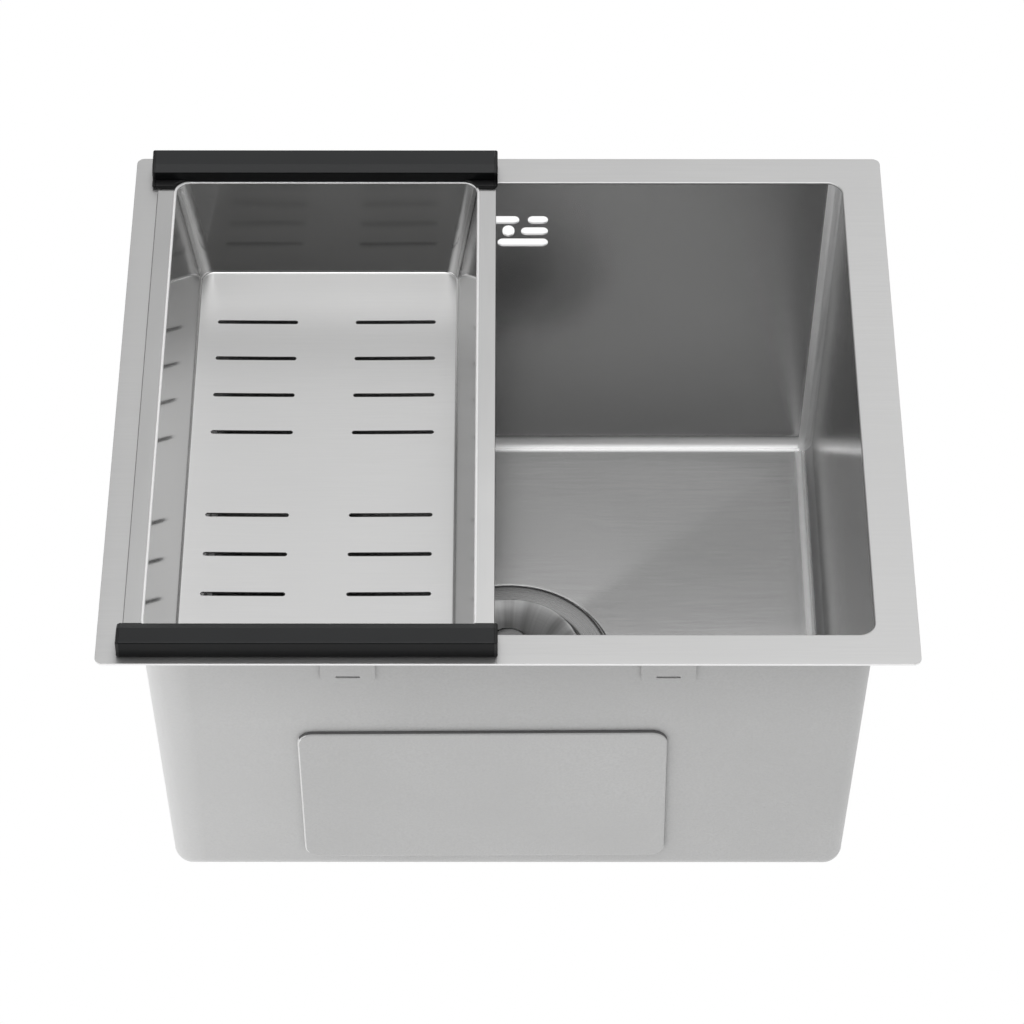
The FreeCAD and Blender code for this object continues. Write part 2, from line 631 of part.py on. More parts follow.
# ---------------------------------------------------------------------------
# Basket: perforated cup with a smooth funnel, stem, knob and stopper seal.
# ---------------------------------------------------------------------------
C = q("cup_r")
ct = q("cup_sheet")
cz = -q("cup_z")
L = q("lip_r")
cup = revolve("basket_cup", [
    (4.15, cz), (C - 1.5, cz), (C, cz + 1.5), (C, -256.0), (C + 0.5, -252.6), (40.4, -243.6), (44.9, -238.8),
    (48.3, -236.2), (50.3, -235.2), (51.7, -235.2), (L, -236.0), (L, -239.2), (L - 1.0, -239.2),
    (L - 1.0, -236.6), (50.4, -236.2), (48.8, -237.1), (45.5, -239.6), (41.2, -244.1), (C + 1.35, -252.9),
    (C + ct, -256.0), (C + ct, cz + 1.0), (C - 0.9, cz - ct), (4.15, cz - ct)])
Zax = [f for f in cup.Origin.OriginFeatures if f.Role == "Z_Axis"][0]
cuts = []


def ring_of(body, cut, axis, count, name):
    pat = body.newObject("PartDesign::PolarPattern", name)
    pat.Originals = [cut]
    pat.Axis = (axis, [""])
    pat.Angle = 360.0
    pat.Occurrences = count
    body.Tip = pat
    doc.recompute()
    return pat


for k, (zz, n) in enumerate(((-260.5, 18), (-267.5, 18), (-274.0 + 0.6, 18))):
    s = new_sketch(cup, "wall_hole_%d" % k, role="XZ_Plane", offset=-(C + 3.0))
    circle(s, 2.2, 0.0, zz)
    c = pocket(cup, s, 8.0, reverse=True)
    ring_of(cup, c, Zax, n, "wall_ring_%d" % k)
for k, (rr, n) in enumerate(((12.0, 8), (19.5, 14), (27.0, 20))):
    s = new_sketch(cup, "floor_hole_%d" % k, offset=cz + 2.0)
    circle(s, 1.9, rr, 0.0)
    c = pocket(cup, s, 5.0)
    ring_of(cup, c, Zax, n, "floor_ring_%d" % k)
place(cup, y=dy)
keep(cup)
S = q("stem_r")
stem = revolve("basket_stem", [
    (0.0, -282.0), (2.9, -282.0), (2.9, -280.4), (S, -280.4), (S, cz), (7.0, cz), (7.0, cz + 2.0), (S, cz + 2.6),
    (S, -(q("knob_z") + 4.0)), (0.0, -(q("knob_z") + 4.0))])
place(stem, y=dy)
keep(stem)
K = q("knob_r")
kz = -q("knob_z")
knob = revolve("basket_knob", [
    (0.0, kz), (K - 3.2, kz - 0.1), (K - 1.2, kz - 0.7), (K - 0.2, kz - 1.8), (K, kz - 3.0), (K - 0.4, kz - 4.8),
    (K - 3.0, kz - 7.0), (8.0, kz - 8.0), (S, kz - 8.0), (S, kz - 4.0), (0.0, kz - 4.0)])
place(knob, y=dy)
keep(knob)
seal = revolve("stopper_seal", [
    (S + 0.02, cz - ct), ("seal_r", cz - ct), (q("seal_r") + 0.6, cz - 2.6), ("seal_r", -282.3), (9.0, -282.3),
    (9.0, -280.4), (S + 0.02, -280.4)])
place(seal, y=dy)
keep(seal)
ret = revolve("seal_retainer", [(2.92, -281.4), (8.0, -281.4), (8.0, -280.42), (2.92, -280.42)])
place(ret, y=dy)
keep(ret)

# ---------------------------------------------------------------------------
# Colander: folded tray with eight rows of slots, side flanges, two handles.
# ---------------------------------------------------------------------------
x0 = -q("tray_x0")
ts = q("tray_sheet")
tray = new_body("colander_tray")
s = new_sketch(tray, "tray_flange", offset="tray_z")
rounded_rect(s, "tray_fx", "tray_fx", "tray_fy", "tray_fy", 2.5)
pad(tray, s, ts)
a1 = new_sketch(tray, "tray_wall_top", offset="tray_z")
rounded_rect(a1, q("tray_in_x") + ts, q("tray_in_x") + ts, q("tray_in_y") + ts, q("tray_in_y") + ts, q("tray_corner") + ts)
a2 = new_sketch(tray, "tray_wall_foot", offset=-(q("tray_floor_z") + ts))
rounded_rect(a2, q("tray_floor_x") + ts, q("tray_floor_x") + ts, q("tray_floor_y") + ts, q("tray_floor_y") + ts, q("tray_corner") + ts)
tl = loft(tray, "Additive", a1, a2)
tz_out = -(P["tray_floor_z"] + P["tray_sheet"])
fillet(tray, tl, flat_at(tz_out), 2.6)
i1 = new_sketch(tray, "tray_in_top", offset=q("tray_z") + ts)
rounded_rect(i1, "tray_in_x", "tray_in_x", "tray_in_y", "tray_in_y", "tray_corner")
i2 = new_sketch(tray, "tray_in_foot", offset=-q("tray_floor_z"))
rounded_rect(i2, "tray_floor_x", "tray_floor_x", "tray_floor_y", "tray_floor_y", "tray_corner")
til = loft(tray, "Subtractive", i1, i2)
trf = fillet(tray, til, flat_at(-P["tray_floor_z"]), 1.6)


def tray_mouth(e):
    b = e.BoundBox
    z = P["tray_z"] + P["tray_sheet"]
    return (abs(b.ZMin - z) < 0.01 and abs(b.ZMax - z) < 0.01 and b.XMin > -P["tray_in_x"] - 0.1
            and b.XMax < P["tray_in_x"] + 0.1 and b.YMin > -P["tray_in_y"] - 0.1 and b.YMax < P["tray_in_y"] + 0.1)


fillet(tray, trf, tray_mouth, 0.8)
Yax = [f for f in tray.Origin.OriginFeatures if f.Role == "Y_Axis"][0]
for k, (cx, back) in enumerate(((-q("t_col_l"), True), (-q("t_col_l"), False), (q("t_col_r"), True), (q("t_col_r"), False))):
    s = new_sketch(tray, "tray_slot_%d" % k, offset=-(q("tray_floor_z") - 1.0))
    first = q("t_first") if back else -(q("t_first") + q("t_pitch") * 3)
    obround(s, cx, first, "t_slot_l", "t_slot_w")
    c = pocket(tray, s, 4.0)
    pat = tray.newObject("PartDesign::LinearPattern", "tray_slot_rows_%d" % k)
    pat.Originals = [c]
    pat.Direction = (Yax, [""])
    pat.Length = P["t_pitch"] * 3
    drive(pat, "Length", q("t_pitch") * 3)
    pat.Occurrences = 4
    tray.Tip = pat
    doc.recompute()
place(tray, x=x0)
keep(tray)

# weld studs on the end flanges, pressed up into the handles
stud = []
for side in (-1, 1):
    for i in (-1, 0, 1):
        stud.append(Part.makeCylinder(P["stud_r"], 5.2, Vector(-P["tray_x0"] + i * P["stud_pitch"], side * P["stud_y"],
                                                               P["tray_z"] + P["tray_sheet"])))
studs = doc.addObject("Part::Feature", "handle_studs")
studs.Shape = Part.makeCompound(stud)
keep(studs, "handle_studs")

# handle section in the Y-Z plane: inner face, crowned top, outer face, leg
hi, hd_ = q("hand_in"), q("hand_deep")


def handle_section(sk):
    polygon(sk, [(hi, "hand_z"), (hi + "leg_in", "hand_z"), (hi + "leg_in", "leg_z"), (hi + hd_, "leg_z"),
                 (hi + hd_, "hand_c"), (hi + 6.0, "hand_m"), (hi, "hand_b")])


def long_top_edges(e):
    b = e.BoundBox
    return (b.XLength > 50 and b.YLength < 0.01 and b.ZMin > P["hand_b"] - 0.1
            and (b.YMin > P["hand_in"] + P["hand_deep"] - 0.1 or b.YMin < P["hand_in"] + 0.1))


rear = new_body("rear_handle")
s = new_sketch(rear, "rear_handle_section", role="YZ_Plane")
handle_section(s)
f = pad(rear, s, q("hand_x") * 2, mid=True)
f = fillet(rear, f, long_top_edges, 0.9)
s = new_sketch(rear, "stud_holes", offset="hand_z")
for i in (-1, 0, 1):
    circle(s, q("stud_r") + 0.0, q("stud_pitch") * i if i else 0.0, "stud_y")
pocket(rear, s, 5.4, reverse=True)
place(rear, x=x0)
keep(rear)
front = doc.addObject("Part::Mirroring", "front_handle")
front.Source = rear
front.Normal = Vector(0, 1, 0)
front.Base = Vector(0, 0, 0)
keep(front, "front_handle")

# end cap: closing plate, and a low foot on the flange that runs into a thin ear round the tray corner
rc = new_body("rear_right_end_cap")
foot_in, foot_z, foot_top = 194.6, 2.85, 4.75
s = new_sketch(rc, "plate_section", role="YZ_Plane", offset="hand_x")
polygon(s, [(foot_in, foot_z), (hi + "leg_in", foot_z), (hi + "leg_in", "leg_z"), (hi + hd_, "leg_z"),
            (hi + hd_, "hand_c"), (hi + 6.0, "hand_m"), (hi, "hand_b"), (hi, foot_top), (foot_in, foot_top)])
f = pad(rc, s, "cap_t")
ccx = q("tray_in_x") - "tray_corner"
ccy = q("tray_in_y") - "tray_corner"
s = new_sketch(rc, "foot_and_ear", offset=2.85)
polygon(s, [(ccx, foot_in), ("hand_x", foot_in), ("hand_x", hi), (ccx, hi)])
pad(rc, s, foot_top - foot_z)
doc.recompute()
s = new_sketch(rc, "ear_cut", offset=2.0)
circle(s, q("tray_corner") + 0.9, ccx, ccy)
pocket(rc, s, 12.0, reverse=True)
place(rc, x=x0)
keep(rc)
lc = doc.addObject("Part::Mirroring", "rear_left_end_cap")
lc.Source = rc
lc.Normal = Vector(1, 0, 0)
lc.Base = Vector(x0.v, 0, 0)
keep(lc, "rear_left_end_cap")
fr = doc.addObject("Part::Mirroring", "front_right_end_cap")
fr.Source = rc
fr.Normal = Vector(0, 1, 0)
fr.Base = Vector(0, 0, 0)
keep(fr, "front_right_end_cap")
fl = doc.addObject("Part::Mirroring", "front_left_end_cap")
fl.Source = lc
fl.Normal = Vector(0, 1, 0)
fl.Base = Vector(0, 0, 0)
keep(fl, "front_left_end_cap")

# silicone glide strips under the handle legs
for side, name in ((1, "rear_glide_strip"), (-1, "front_glide_strip")):
    g = doc.addObject("Part::Box", name)
    drive(g, "Length", q("hand_x") * 2 - 6.0)
    drive(g, "Width", q("strip_out") - "strip_in")
    drive(g, "Height", q("leg_z") - 1.55)
    y = q("hand_in") + "strip_in" if side > 0 else -(q("hand_in") + "strip_out")
    place(g, x=x0 - "hand_x" + 3.0, y=y, z=1.55)
    keep(g, name)

doc.recompute()

# ---------------------------------------------------------------------------
# Check and write
# ---------------------------------------------------------------------------
for obj in doc.Objects:
    if "Invalid" in obj.State or "Error" in obj.State:
        raise RuntimeError("%s did not compute" % obj.Name)
    if hasattr(obj, "Shape") and obj.isDerivedFrom("PartDesign::Feature"):
        if obj.Shape.isNull() or not obj.Shape.isValid():
            raise RuntimeError("%s has a bad shape" % obj.Name)
seen = set()
for obj in NODES:
    shape = obj.Shape
    if shape.isNull() or not shape.isValid():
        raise RuntimeError("%s has a bad shape" % obj.Label)
    if obj.Label in seen:
        raise RuntimeError("%s is used twice" % obj.Label)
    seen.add(obj.Label)
    shape.exportStep("parts/%s.step" % obj.Label)
    print("%-26s solids %d volume %.1f cm3" % (obj.Label, len(shape.Solids), shape.Volume / 1000.0))
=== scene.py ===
import bpy
import bmesh
import math
import numpy as np
from mathutils import Matrix, Vector


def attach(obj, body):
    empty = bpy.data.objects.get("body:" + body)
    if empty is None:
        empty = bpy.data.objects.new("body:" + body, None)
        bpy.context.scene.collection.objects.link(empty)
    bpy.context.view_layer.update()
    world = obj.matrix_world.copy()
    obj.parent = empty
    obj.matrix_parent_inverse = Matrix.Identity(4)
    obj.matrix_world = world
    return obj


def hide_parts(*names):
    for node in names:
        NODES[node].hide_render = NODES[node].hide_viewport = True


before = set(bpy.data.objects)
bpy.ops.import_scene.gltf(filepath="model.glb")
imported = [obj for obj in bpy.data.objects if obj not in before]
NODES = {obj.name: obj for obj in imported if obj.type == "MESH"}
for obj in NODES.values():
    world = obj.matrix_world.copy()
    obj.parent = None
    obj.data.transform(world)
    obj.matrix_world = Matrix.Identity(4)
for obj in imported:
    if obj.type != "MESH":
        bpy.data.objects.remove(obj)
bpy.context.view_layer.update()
SCENE = bpy.context.scene
COLL = SCENE.collection
MM = 0.001

# ---------------------------------------------------------------------------
# Dimensions in millimetres, in the part's own frame: Z = 0 is the underside of
# the rim, X = Y = 0 its centre, +Y to the rear.
# ---------------------------------------------------------------------------
RIM_X, RIM_Y, RIM_R, SHEET = 250.0, 225.0, 5.0, 1.5
OPEN_X, OPEN_Y, BOWL_R = 223.2, 201.0, 10.0
FLOOR_X, FLOOR_B, FLOOR_F, FLOOR_Z = 214.1, 188.6, 191.5, 237.0
FOLD, DISH, DISH_X, DISH_Y = 10.0, 3.2, 30.0, 34.0
DRAIN_Y, SEAT_R, SEAT_Z, HOLE_R = -16.0, 71.0, 240.1, 57.0
TRAY_X0 = -121.4


# ---------------------------------------------------------------------------
# Mesh helpers
# ---------------------------------------------------------------------------
class Build:
    """Vertices in millimetres, faces with a material index."""

    def __init__(self):
        self.v, self.f, self.m = [], [], []

    def ring(self, pts):
        base = len(self.v)
        self.v.extend([tuple(float(c) for c in p) for p in pts])
        return list(range(base, base + len(pts)))

    def face(self, idx, mat=0):
        self.f.append(list(idx))
        self.m.append(mat)

    def bridge(self, a, b, mat=0, closed=True):
        n = len(a)
        for i in range(n if closed else n - 1):
            j = (i + 1) % n
            self.face((a[i], b[i], b[j], a[j]), mat)

    def strip(self, rings, mats, closed_loop=False):
        for k in range(len(rings) - 1):
            self.bridge(rings[k], rings[k + 1], mats[k] if isinstance(mats, (list, tuple)) else mats)
        if closed_loop:
            self.bridge(rings[-1], rings[0], mats[-1] if isinstance(mats, (list, tuple)) else mats)

    def obj(self, name, materials):
        me = bpy.data.meshes.new(name)
        me.from_pydata([(x * MM, y * MM, z * MM) for x, y, z in self.v], [], self.f)
        for mt in materials:
            me.materials.append(mt)
        me.polygons.foreach_set("material_index", self.m)
        me.update()
        ob = bpy.data.objects.new(name, me)
        COLL.objects.link(ob)
        return ob


def rr(hx, yf, yb, r, z, nc=10, sx=40, sy=40, cx=0.0, cy=0.0):
    """Counter-clockwise rounded rectangle from -hx to hx and -yf to yb about (cx, cy)."""
    r = max(r, 0.02)
    pts = []
    a, b, c, d = -hx, hx, -yf, yb

    def side(p, q_, n):
        for i in range(n):
            t = i / n
            pts.append((p[0] + (q_[0] - p[0]) * t, p[1] + (q_[1] - p[1]) * t))

    def arc(ox, oy, a0, n):
        for i in range(n):
            t = math.radians(a0 + 90.0 * i / n)
            pts.append((ox + r * math.cos(t), oy + r * math.sin(t)))

    side((a + r, c), (b - r, c), sx)
    arc(b - r, c + r, -90.0, nc)
    side((b, c + r), (b, d - r), sy)
    arc(b - r, d - r, 0.0, nc)
    side((b - r, d), (a + r, d), sx)
    arc(a + r, d - r, 90.0, nc)
    side((a, d - r), (a, c + r), sy)
    arc(a + r, c + r, 180.0, nc)
    if callable(z):
        return [(x + cx, y + cy, z(x, y)) for x, y in pts]
    return [(x + cx, y + cy, z) for x, y in pts]


def sharp_and_weight(ob, angle=35.0):
    """Marks sharp edges in the mesh itself and adds face-area weighted normals."""
    me = ob.data
    bm = bmesh.new()
    bm.from_mesh(me)
    lim = math.radians(angle)
    for e in bm.edges:
        if len(e.link_faces) == 2:
            e.smooth = e.calc_face_angle(0.0) < lim
        else:
            e.smooth = False
    for f in bm.faces:
        f.smooth = True
    bm.to_mesh(me)
    bm.free()
    w = ob.modifiers.new("normals", "WEIGHTED_NORMAL")
    w.mode = "FACE_AREA"
    w.weight = 60
    w.keep_sharp = True
    return ob


def cut(ob, cutter):
    """Boolean difference, applied, and the cutter removed."""
    m = ob.modifiers.new("cut", "BOOLEAN")
    m.operation = "DIFFERENCE"
    m.solver = "EXACT"
    m.object = cutter
    dg = bpy.context.evaluated_depsgraph_get()
    me = bpy.data.meshes.new_from_object(ob.evaluated_get(dg))
    ob.modifiers.clear()
    old = ob.data
    ob.data = me
    bpy.data.meshes.remove(old)
    bpy.data.objects.remove(cutter)
    return ob


def round_polygon(points, radii, n=6):
    """A closed 2D outline with each corner rounded to its radius."""
    out = []
    k = len(points)
    for i in range(k):
        p0 = np.array(points[i - 1], float)
        p1 = np.array(points[i], float)
        p2 = np.array(points[(i + 1) % k], float)
        r = radii[i]
        if r <= 0:
            out.append(tuple(p1))
            continue
        u = (p0 - p1) / np.linalg.norm(p0 - p1)
        v = (p2 - p1) / np.linalg.norm(p2 - p1)
        ang = math.acos(max(-1.0, min(1.0, float(u @ v))))
        t = r / math.tan(ang / 2)
        t = min(t, 0.49 * np.linalg.norm(p0 - p1), 0.49 * np.linalg.norm(p2 - p1))
        r = t * math.tan(ang / 2)
        c = p1 + (u + v) / np.linalg.norm(u + v) * (r / math.sin(ang / 2))
        a, b = p1 + u * t, p1 + v * t
        a0 = math.atan2(*(a - c)[::-1])
        a1 = math.atan2(*(b - c)[::-1])
        d = (a1 - a0 + math.pi) % (2 * math.pi) - math.pi
        for j in range(n + 1):
            w = a0 + d * j / n
            out.append((c[0] + r * math.cos(w), c[1] + r * math.sin(w)))
    return out


def lathe(name, profile, materials, mats=0, n=160, cy=DRAIN_Y, closed=True):
    """Turns an (r, z) outline, given so that r x z runs counter-clockwise, about the waste's axis."""
    b = Build()
    rings = []
    for r, z in profile:
        rings.append(b.ring([(r * math.cos(2 * math.pi * i / n), cy + r * math.sin(2 * math.pi * i / n), z)
                             for i in range(n)]))
    k = len(rings)
    for j in range(k if closed else k - 1):
        a, c = rings[j], rings[(j + 1) % k]
        mt = mats[j] if isinstance(mats, (list, tuple)) else mats
        for i in range(n):
            i2 = (i + 1) % n
            b.face((a[i], a[i2], c[i2], c[i]), mt)
    ob = b.obj(name, materials)
    bm = bmesh.new()
    bm.from_mesh(ob.data)
    bmesh.ops.remove_doubles(bm, verts=bm.verts, dist=1e-7)
    bmesh.ops.dissolve_degenerate(bm, edges=bm.edges, dist=1e-8)
    bmesh.ops.recalc_face_normals(bm, faces=bm.faces)
    bm.to_mesh(ob.data)
    bm.free()
    return ob


def fix_normals(ob):
    bm = bmesh.new()
    bm.from_mesh(ob.data)
    bmesh.ops.recalc_face_normals(bm, faces=bm.faces)
    bm.to_mesh(ob.data)
    bm.free()


# ---------------------------------------------------------------------------
# Materials
# ---------------------------------------------------------------------------
class Nodes:
    """A thin layer over a material's node tree."""

    def __init__(self, name):
        self.mat = bpy.data.materials.new(name)
        self.mat.use_nodes = True
        self.t = self.mat.node_tree
        self.t.nodes.clear()
        self.out = self.t.nodes.new("ShaderNodeOutputMaterial")
        self.bsdf = self.t.nodes.new("ShaderNodeBsdfPrincipled")
        self.t.links.new(self.bsdf.outputs[0], self.out.inputs[0])
        self.co = self.t.nodes.new("ShaderNodeTexCoord").outputs["Object"]

    def new(self, kind, **props):
        n = self.t.nodes.new(kind)
        for k, v in props.items():
            setattr(n, k, v)
        return n

    def link(self, a, b):
        self.t.links.new(a, b)

    def noise(self, scale, detail=2.0, rough=0.5, stretch=(1, 1, 1), rot=(0, 0, 0), offset=(0, 0, 0), distort=0.0):
        mp = self.new("ShaderNodeMapping")
        mp.inputs["Scale"].default_value = stretch
        mp.inputs["Rotation"].default_value = rot
        mp.inputs["Location"].default_value = offset
        self.link(self.co, mp.inputs["Vector"])
        n = self.new("ShaderNodeTexNoise")
        n.inputs["Scale"].default_value = scale
        n.inputs["Detail"].default_value = detail
        n.inputs["Roughness"].default_value = rough
        n.inputs["Distortion"].default_value = distort
        self.link(mp.outputs[0], n.inputs["Vector"])
        return n.outputs["Fac"]

    def remap(self, value, lo, hi, a=0.3, b=0.7, clamp=True):
        n = self.new("ShaderNodeMapRange")
        n.clamp = clamp
        n.inputs["From Min"].default_value = a
        n.inputs["From Max"].default_value = b
        n.inputs["To Min"].default_value = lo
        n.inputs["To Max"].default_value = hi
        self.link(value, n.inputs["Value"])
        return n.outputs[0]

    def math(self, op, a, b=None, c=None):
        n = self.new("ShaderNodeMath", operation=op)
        for i, x in enumerate((a, b, c)):
            if x is None:
                continue
            if isinstance(x, (int, float)):
                n.inputs[i].default_value = x
            else:
                self.link(x, n.inputs[i])
        return n.outputs[0]

    def mix(self, fac, a, b):
        n = self.new("ShaderNodeMix", data_type="RGBA")
        for sock, x in ((n.inputs[0], fac), (n.inputs[6], a), (n.inputs[7], b)):
            if isinstance(x, (int, float)):
                sock.default_value = x
            elif isinstance(x, (tuple, list)):
                sock.default_value = tuple(x) + ((1.0,) if len(x) == 3 else ())
            else:
                self.link(x, sock)
        return n.outputs[2]

    def bump(self, height, strength, distance, under=None):
        n = self.new("ShaderNodeBump")
        n.inputs["Strength"].default_value = strength
        n.inputs["Distance"].default_value = distance
        self.link(height, n.inputs["Height"])
        if under is not None:
            self.link(under, n.inputs["Normal"])
        return n.outputs[0]

    def set(self, **values):
        for k, v in values.items():
            s = self.bsdf.inputs[k.replace("_", " ")]
            if hasattr(v, "is_output"):
                self.link(v, s)
            else:
                s.default_value = v
        return self.mat


def tangent(nd, axis):
    """The brushing direction, as a direction on the surface."""
    c = nd.new("ShaderNodeCombineXYZ")
    for i, x in enumerate(axis):
        c.inputs[i].default_value = x
    v = nd.new("ShaderNodeVectorTransform", vector_type="VECTOR", convert_from="OBJECT", convert_to="WORLD")
    nd.link(c.outputs[0], v.inputs[0])
    nd.link(v.outputs[0], nd.bsdf.inputs["Tangent"])


def steel(name, along="x", tone=0.60, rough=0.20, spread=0.05, aniso=0.4, fine=0.5, wave=0.25, cloud=0.02,
          tint=(1.0, 0.999, 0.996), stains=0.0):
    """Brushed stainless: fine drawn lines, a little cloudiness, and the slight waviness of folded sheet."""
    nd = Nodes(name)
    lines = {"x": (0.012, 1.0, 1.0), "y": (1.0, 0.012, 1.0), "z": (1.0, 1.0, 0.012)}[along]
    broad = {"x": (0.035, 1.0, 1.0), "y": (1.0, 0.035, 1.0), "z": (1.0, 1.0, 0.035)}[along]
    a = nd.noise(2600.0, 2.0, 0.6, lines)
    b = nd.noise(520.0, 3.0, 0.55, broad, offset=(0.31, 0.17, 0.05))
    both = nd.math("MULTIPLY_ADD", b, 0.5, nd.math("MULTIPLY", a, 0.5))
    c = nd.noise(9.0, 3.0, 0.5, (1, 1, 1), offset=(0.7, 0.2, 0.4))
    low = tuple(tone * t * (1 - cloud) for t in tint)
    high = tuple(tone * t * (1 + cloud) for t in tint)
    col = nd.mix(nd.remap(c, 0.0, 1.0), low, high)
    col = nd.mix(nd.remap(both, 0.0, 1.0, 0.35, 0.65), tuple(x * 0.985 for x in low), col)
    rg = nd.math("ADD", nd.remap(both, rough - spread, rough + spread, 0.35, 0.65), nd.remap(c, -0.3 * spread, 0.3 * spread))
    n1 = nd.bump(nd.noise(7.0, 1.5, 0.4, (1, 1, 1), offset=(0.1, 0.9, 0.3)), wave, 0.0022)
    n2 = nd.bump(both, fine, 0.000012, n1)
    tangent(nd, {"x": (1, 0, 0), "y": (0, 1, 0), "z": (0, 0, 1)}[along])
    nd.set(Base_Color=col, Roughness=rg, Metallic=1.0, Anisotropic=aniso, Normal=n2)
    return nd.mat


def linished(name, along="z", tone=0.9, rough=0.42, metal=0.5, streak=0.1):
    """Satin band where a seam or fold has been dressed with an abrasive belt: scattering, with long streaks. At the
    pale, low-metal settings used on the bowl's corners and the tray's lip, its brightness is painted highlight.
    """
    nd = Nodes(name)
    k = {"x": (0.02, 1.0, 1.0), "y": (1.0, 0.02, 1.0), "z": (1.0, 1.0, 0.02)}[along]
    a = nd.noise(1500.0, 2.0, 0.6, k)
    b = nd.noise(230.0, 2.0, 0.5, k, offset=(0.11, 0.37, 0.2))
    c = nd.noise(14.0, 2.0, 0.5, offset=(0.5, 0.2, 0.9))
    low, high = tuple([tone * (1 - streak)] * 3), tuple([tone] * 3)
    col = nd.mix(nd.remap(nd.math("MULTIPLY_ADD", b, 0.75, nd.math("MULTIPLY", a, 0.25)), 0.0, 1.0, 0.38, 0.62), low, high)
    rg = nd.math("ADD", nd.remap(a, rough - 0.03, rough + 0.03), nd.remap(c, -0.02, 0.02))
    n2 = nd.bump(nd.math("MULTIPLY_ADD", a, 0.4, nd.math("MULTIPLY", b, 0.6)), 0.5, 0.00003)
    nd.set(Base_Color=col, Roughness=rg, Metallic=metal, Normal=n2)
    return nd.mat


def fold_painted_highlight(name, along, axis, lo, hi, stops, tone=0.60, rough=0.21):
    """Drawn sheet with a painted highlight along the fold: the band turns pale, rougher and much less metallic, fading
    out to both sides of it.
    """
    nd = Nodes(name)
    k = {"x": (0.02, 1.0, 1.0), "y": (1.0, 0.02, 1.0)}[along]
    a = nd.noise(1500.0, 2.0, 0.6, k)
    b = nd.noise(10.0, 2.0, 0.5, offset=(0.3, 0.8, 0.1))
    sp = nd.new("ShaderNodeSeparateXYZ")
    nd.link(nd.co, sp.inputs[0])
    t = nd.remap(nd.math("ABSOLUTE", sp.outputs[axis]), 0.0, 1.0, lo, hi)
    ramp = nd.new("ShaderNodeValToRGB")
    el = ramp.color_ramp.elements
    while len(el) > 1:
        el.remove(el[-1])
    for i, (p, v) in enumerate(stops):
        e = el[0] if i == 0 else el.new(p)
        e.position = p
        e.color = (v, v, v, 1.0)
    nd.link(t, ramp.inputs[0])
    f = ramp.outputs[0]
    plain = nd.mix(nd.remap(a, 0.0, 1.0), tuple([tone * 0.97] * 3), tuple([tone * 1.02] * 3))
    highlight_white = nd.mix(nd.remap(a, 0.0, 1.0), (0.96, 0.96, 0.96), (1.0, 1.0, 1.0))
    rg = nd.math("ADD", nd.math("MULTIPLY_ADD", f, 0.16, rough), nd.remap(b, -0.01, 0.01))
    nd.set(Base_Color=nd.mix(f, plain, highlight_white), Roughness=rg, Metallic=nd.math("MULTIPLY_ADD", f, -0.88, 1.0),
           Normal=nd.bump(a, 0.3, 0.00002))
    return nd.mat


def turned_steel(name, tone=0.55, rough=0.20, spread=0.06, aniso=0.6, fine=0.6, tint=(1.0, 0.999, 0.996), ring=1.0):
    """Lathe-turned stainless: fine circles about the waste's axis."""
    nd = Nodes(name)
    sep = nd.new("ShaderNodeSeparateXYZ")
    nd.link(nd.co, sep.inputs[0])
    y = nd.math("ADD", sep.outputs[1], -DRAIN_Y * MM)
    r = nd.math("SQRT", nd.math("ADD", nd.math("MULTIPLY", sep.outputs[0], sep.outputs[0]), nd.math("MULTIPLY", y, y)))
    comb = nd.new("ShaderNodeCombineXYZ")
    nd.link(r, comb.inputs[0])
    nd.link(nd.math("MULTIPLY", sep.outputs[2], 0.7), comb.inputs[2])
    nz = nd.new("ShaderNodeTexNoise")
    nz.inputs["Scale"].default_value = 2400.0
    nz.inputs["Detail"].default_value = 3.0
    nd.link(comb.outputs[0], nz.inputs["Vector"])
    nz2 = nd.new("ShaderNodeTexNoise")
    nz2.inputs["Scale"].default_value = 700.0
    nz2.inputs["Detail"].default_value = 2.0
    nd.link(comb.outputs[0], nz2.inputs["Vector"])
    both = nd.math("MULTIPLY_ADD", nz2.outputs["Fac"], 0.5, nd.math("MULTIPLY", nz.outputs["Fac"], 0.5))
    low = tuple(tone * t * 0.93 for t in tint)
    high = tuple(tone * t * 1.04 for t in tint)
    col = nd.mix(nd.remap(both, 0.0, 1.0, 0.35, 0.65), low, high)
    rg = nd.remap(both, rough - spread, rough + spread, 0.35, 0.65)
    n2 = nd.bump(both, fine, 0.00002 * ring)
    # direction of turning: (-y, x, 0)
    tv = nd.new("ShaderNodeCombineXYZ")
    nd.link(nd.math("MULTIPLY", y, -1.0), tv.inputs[0])
    nd.link(sep.outputs[0], tv.inputs[1])
    nt = nd.new("ShaderNodeVectorMath", operation="NORMALIZE")
    nd.link(tv.outputs[0], nt.inputs[0])
    nd.link(nt.outputs[0], nd.bsdf.inputs["Tangent"])
    nd.set(Base_Color=col, Roughness=rg, Metallic=1.0, Anisotropic=aniso, Normal=n2)
    return nd.mat


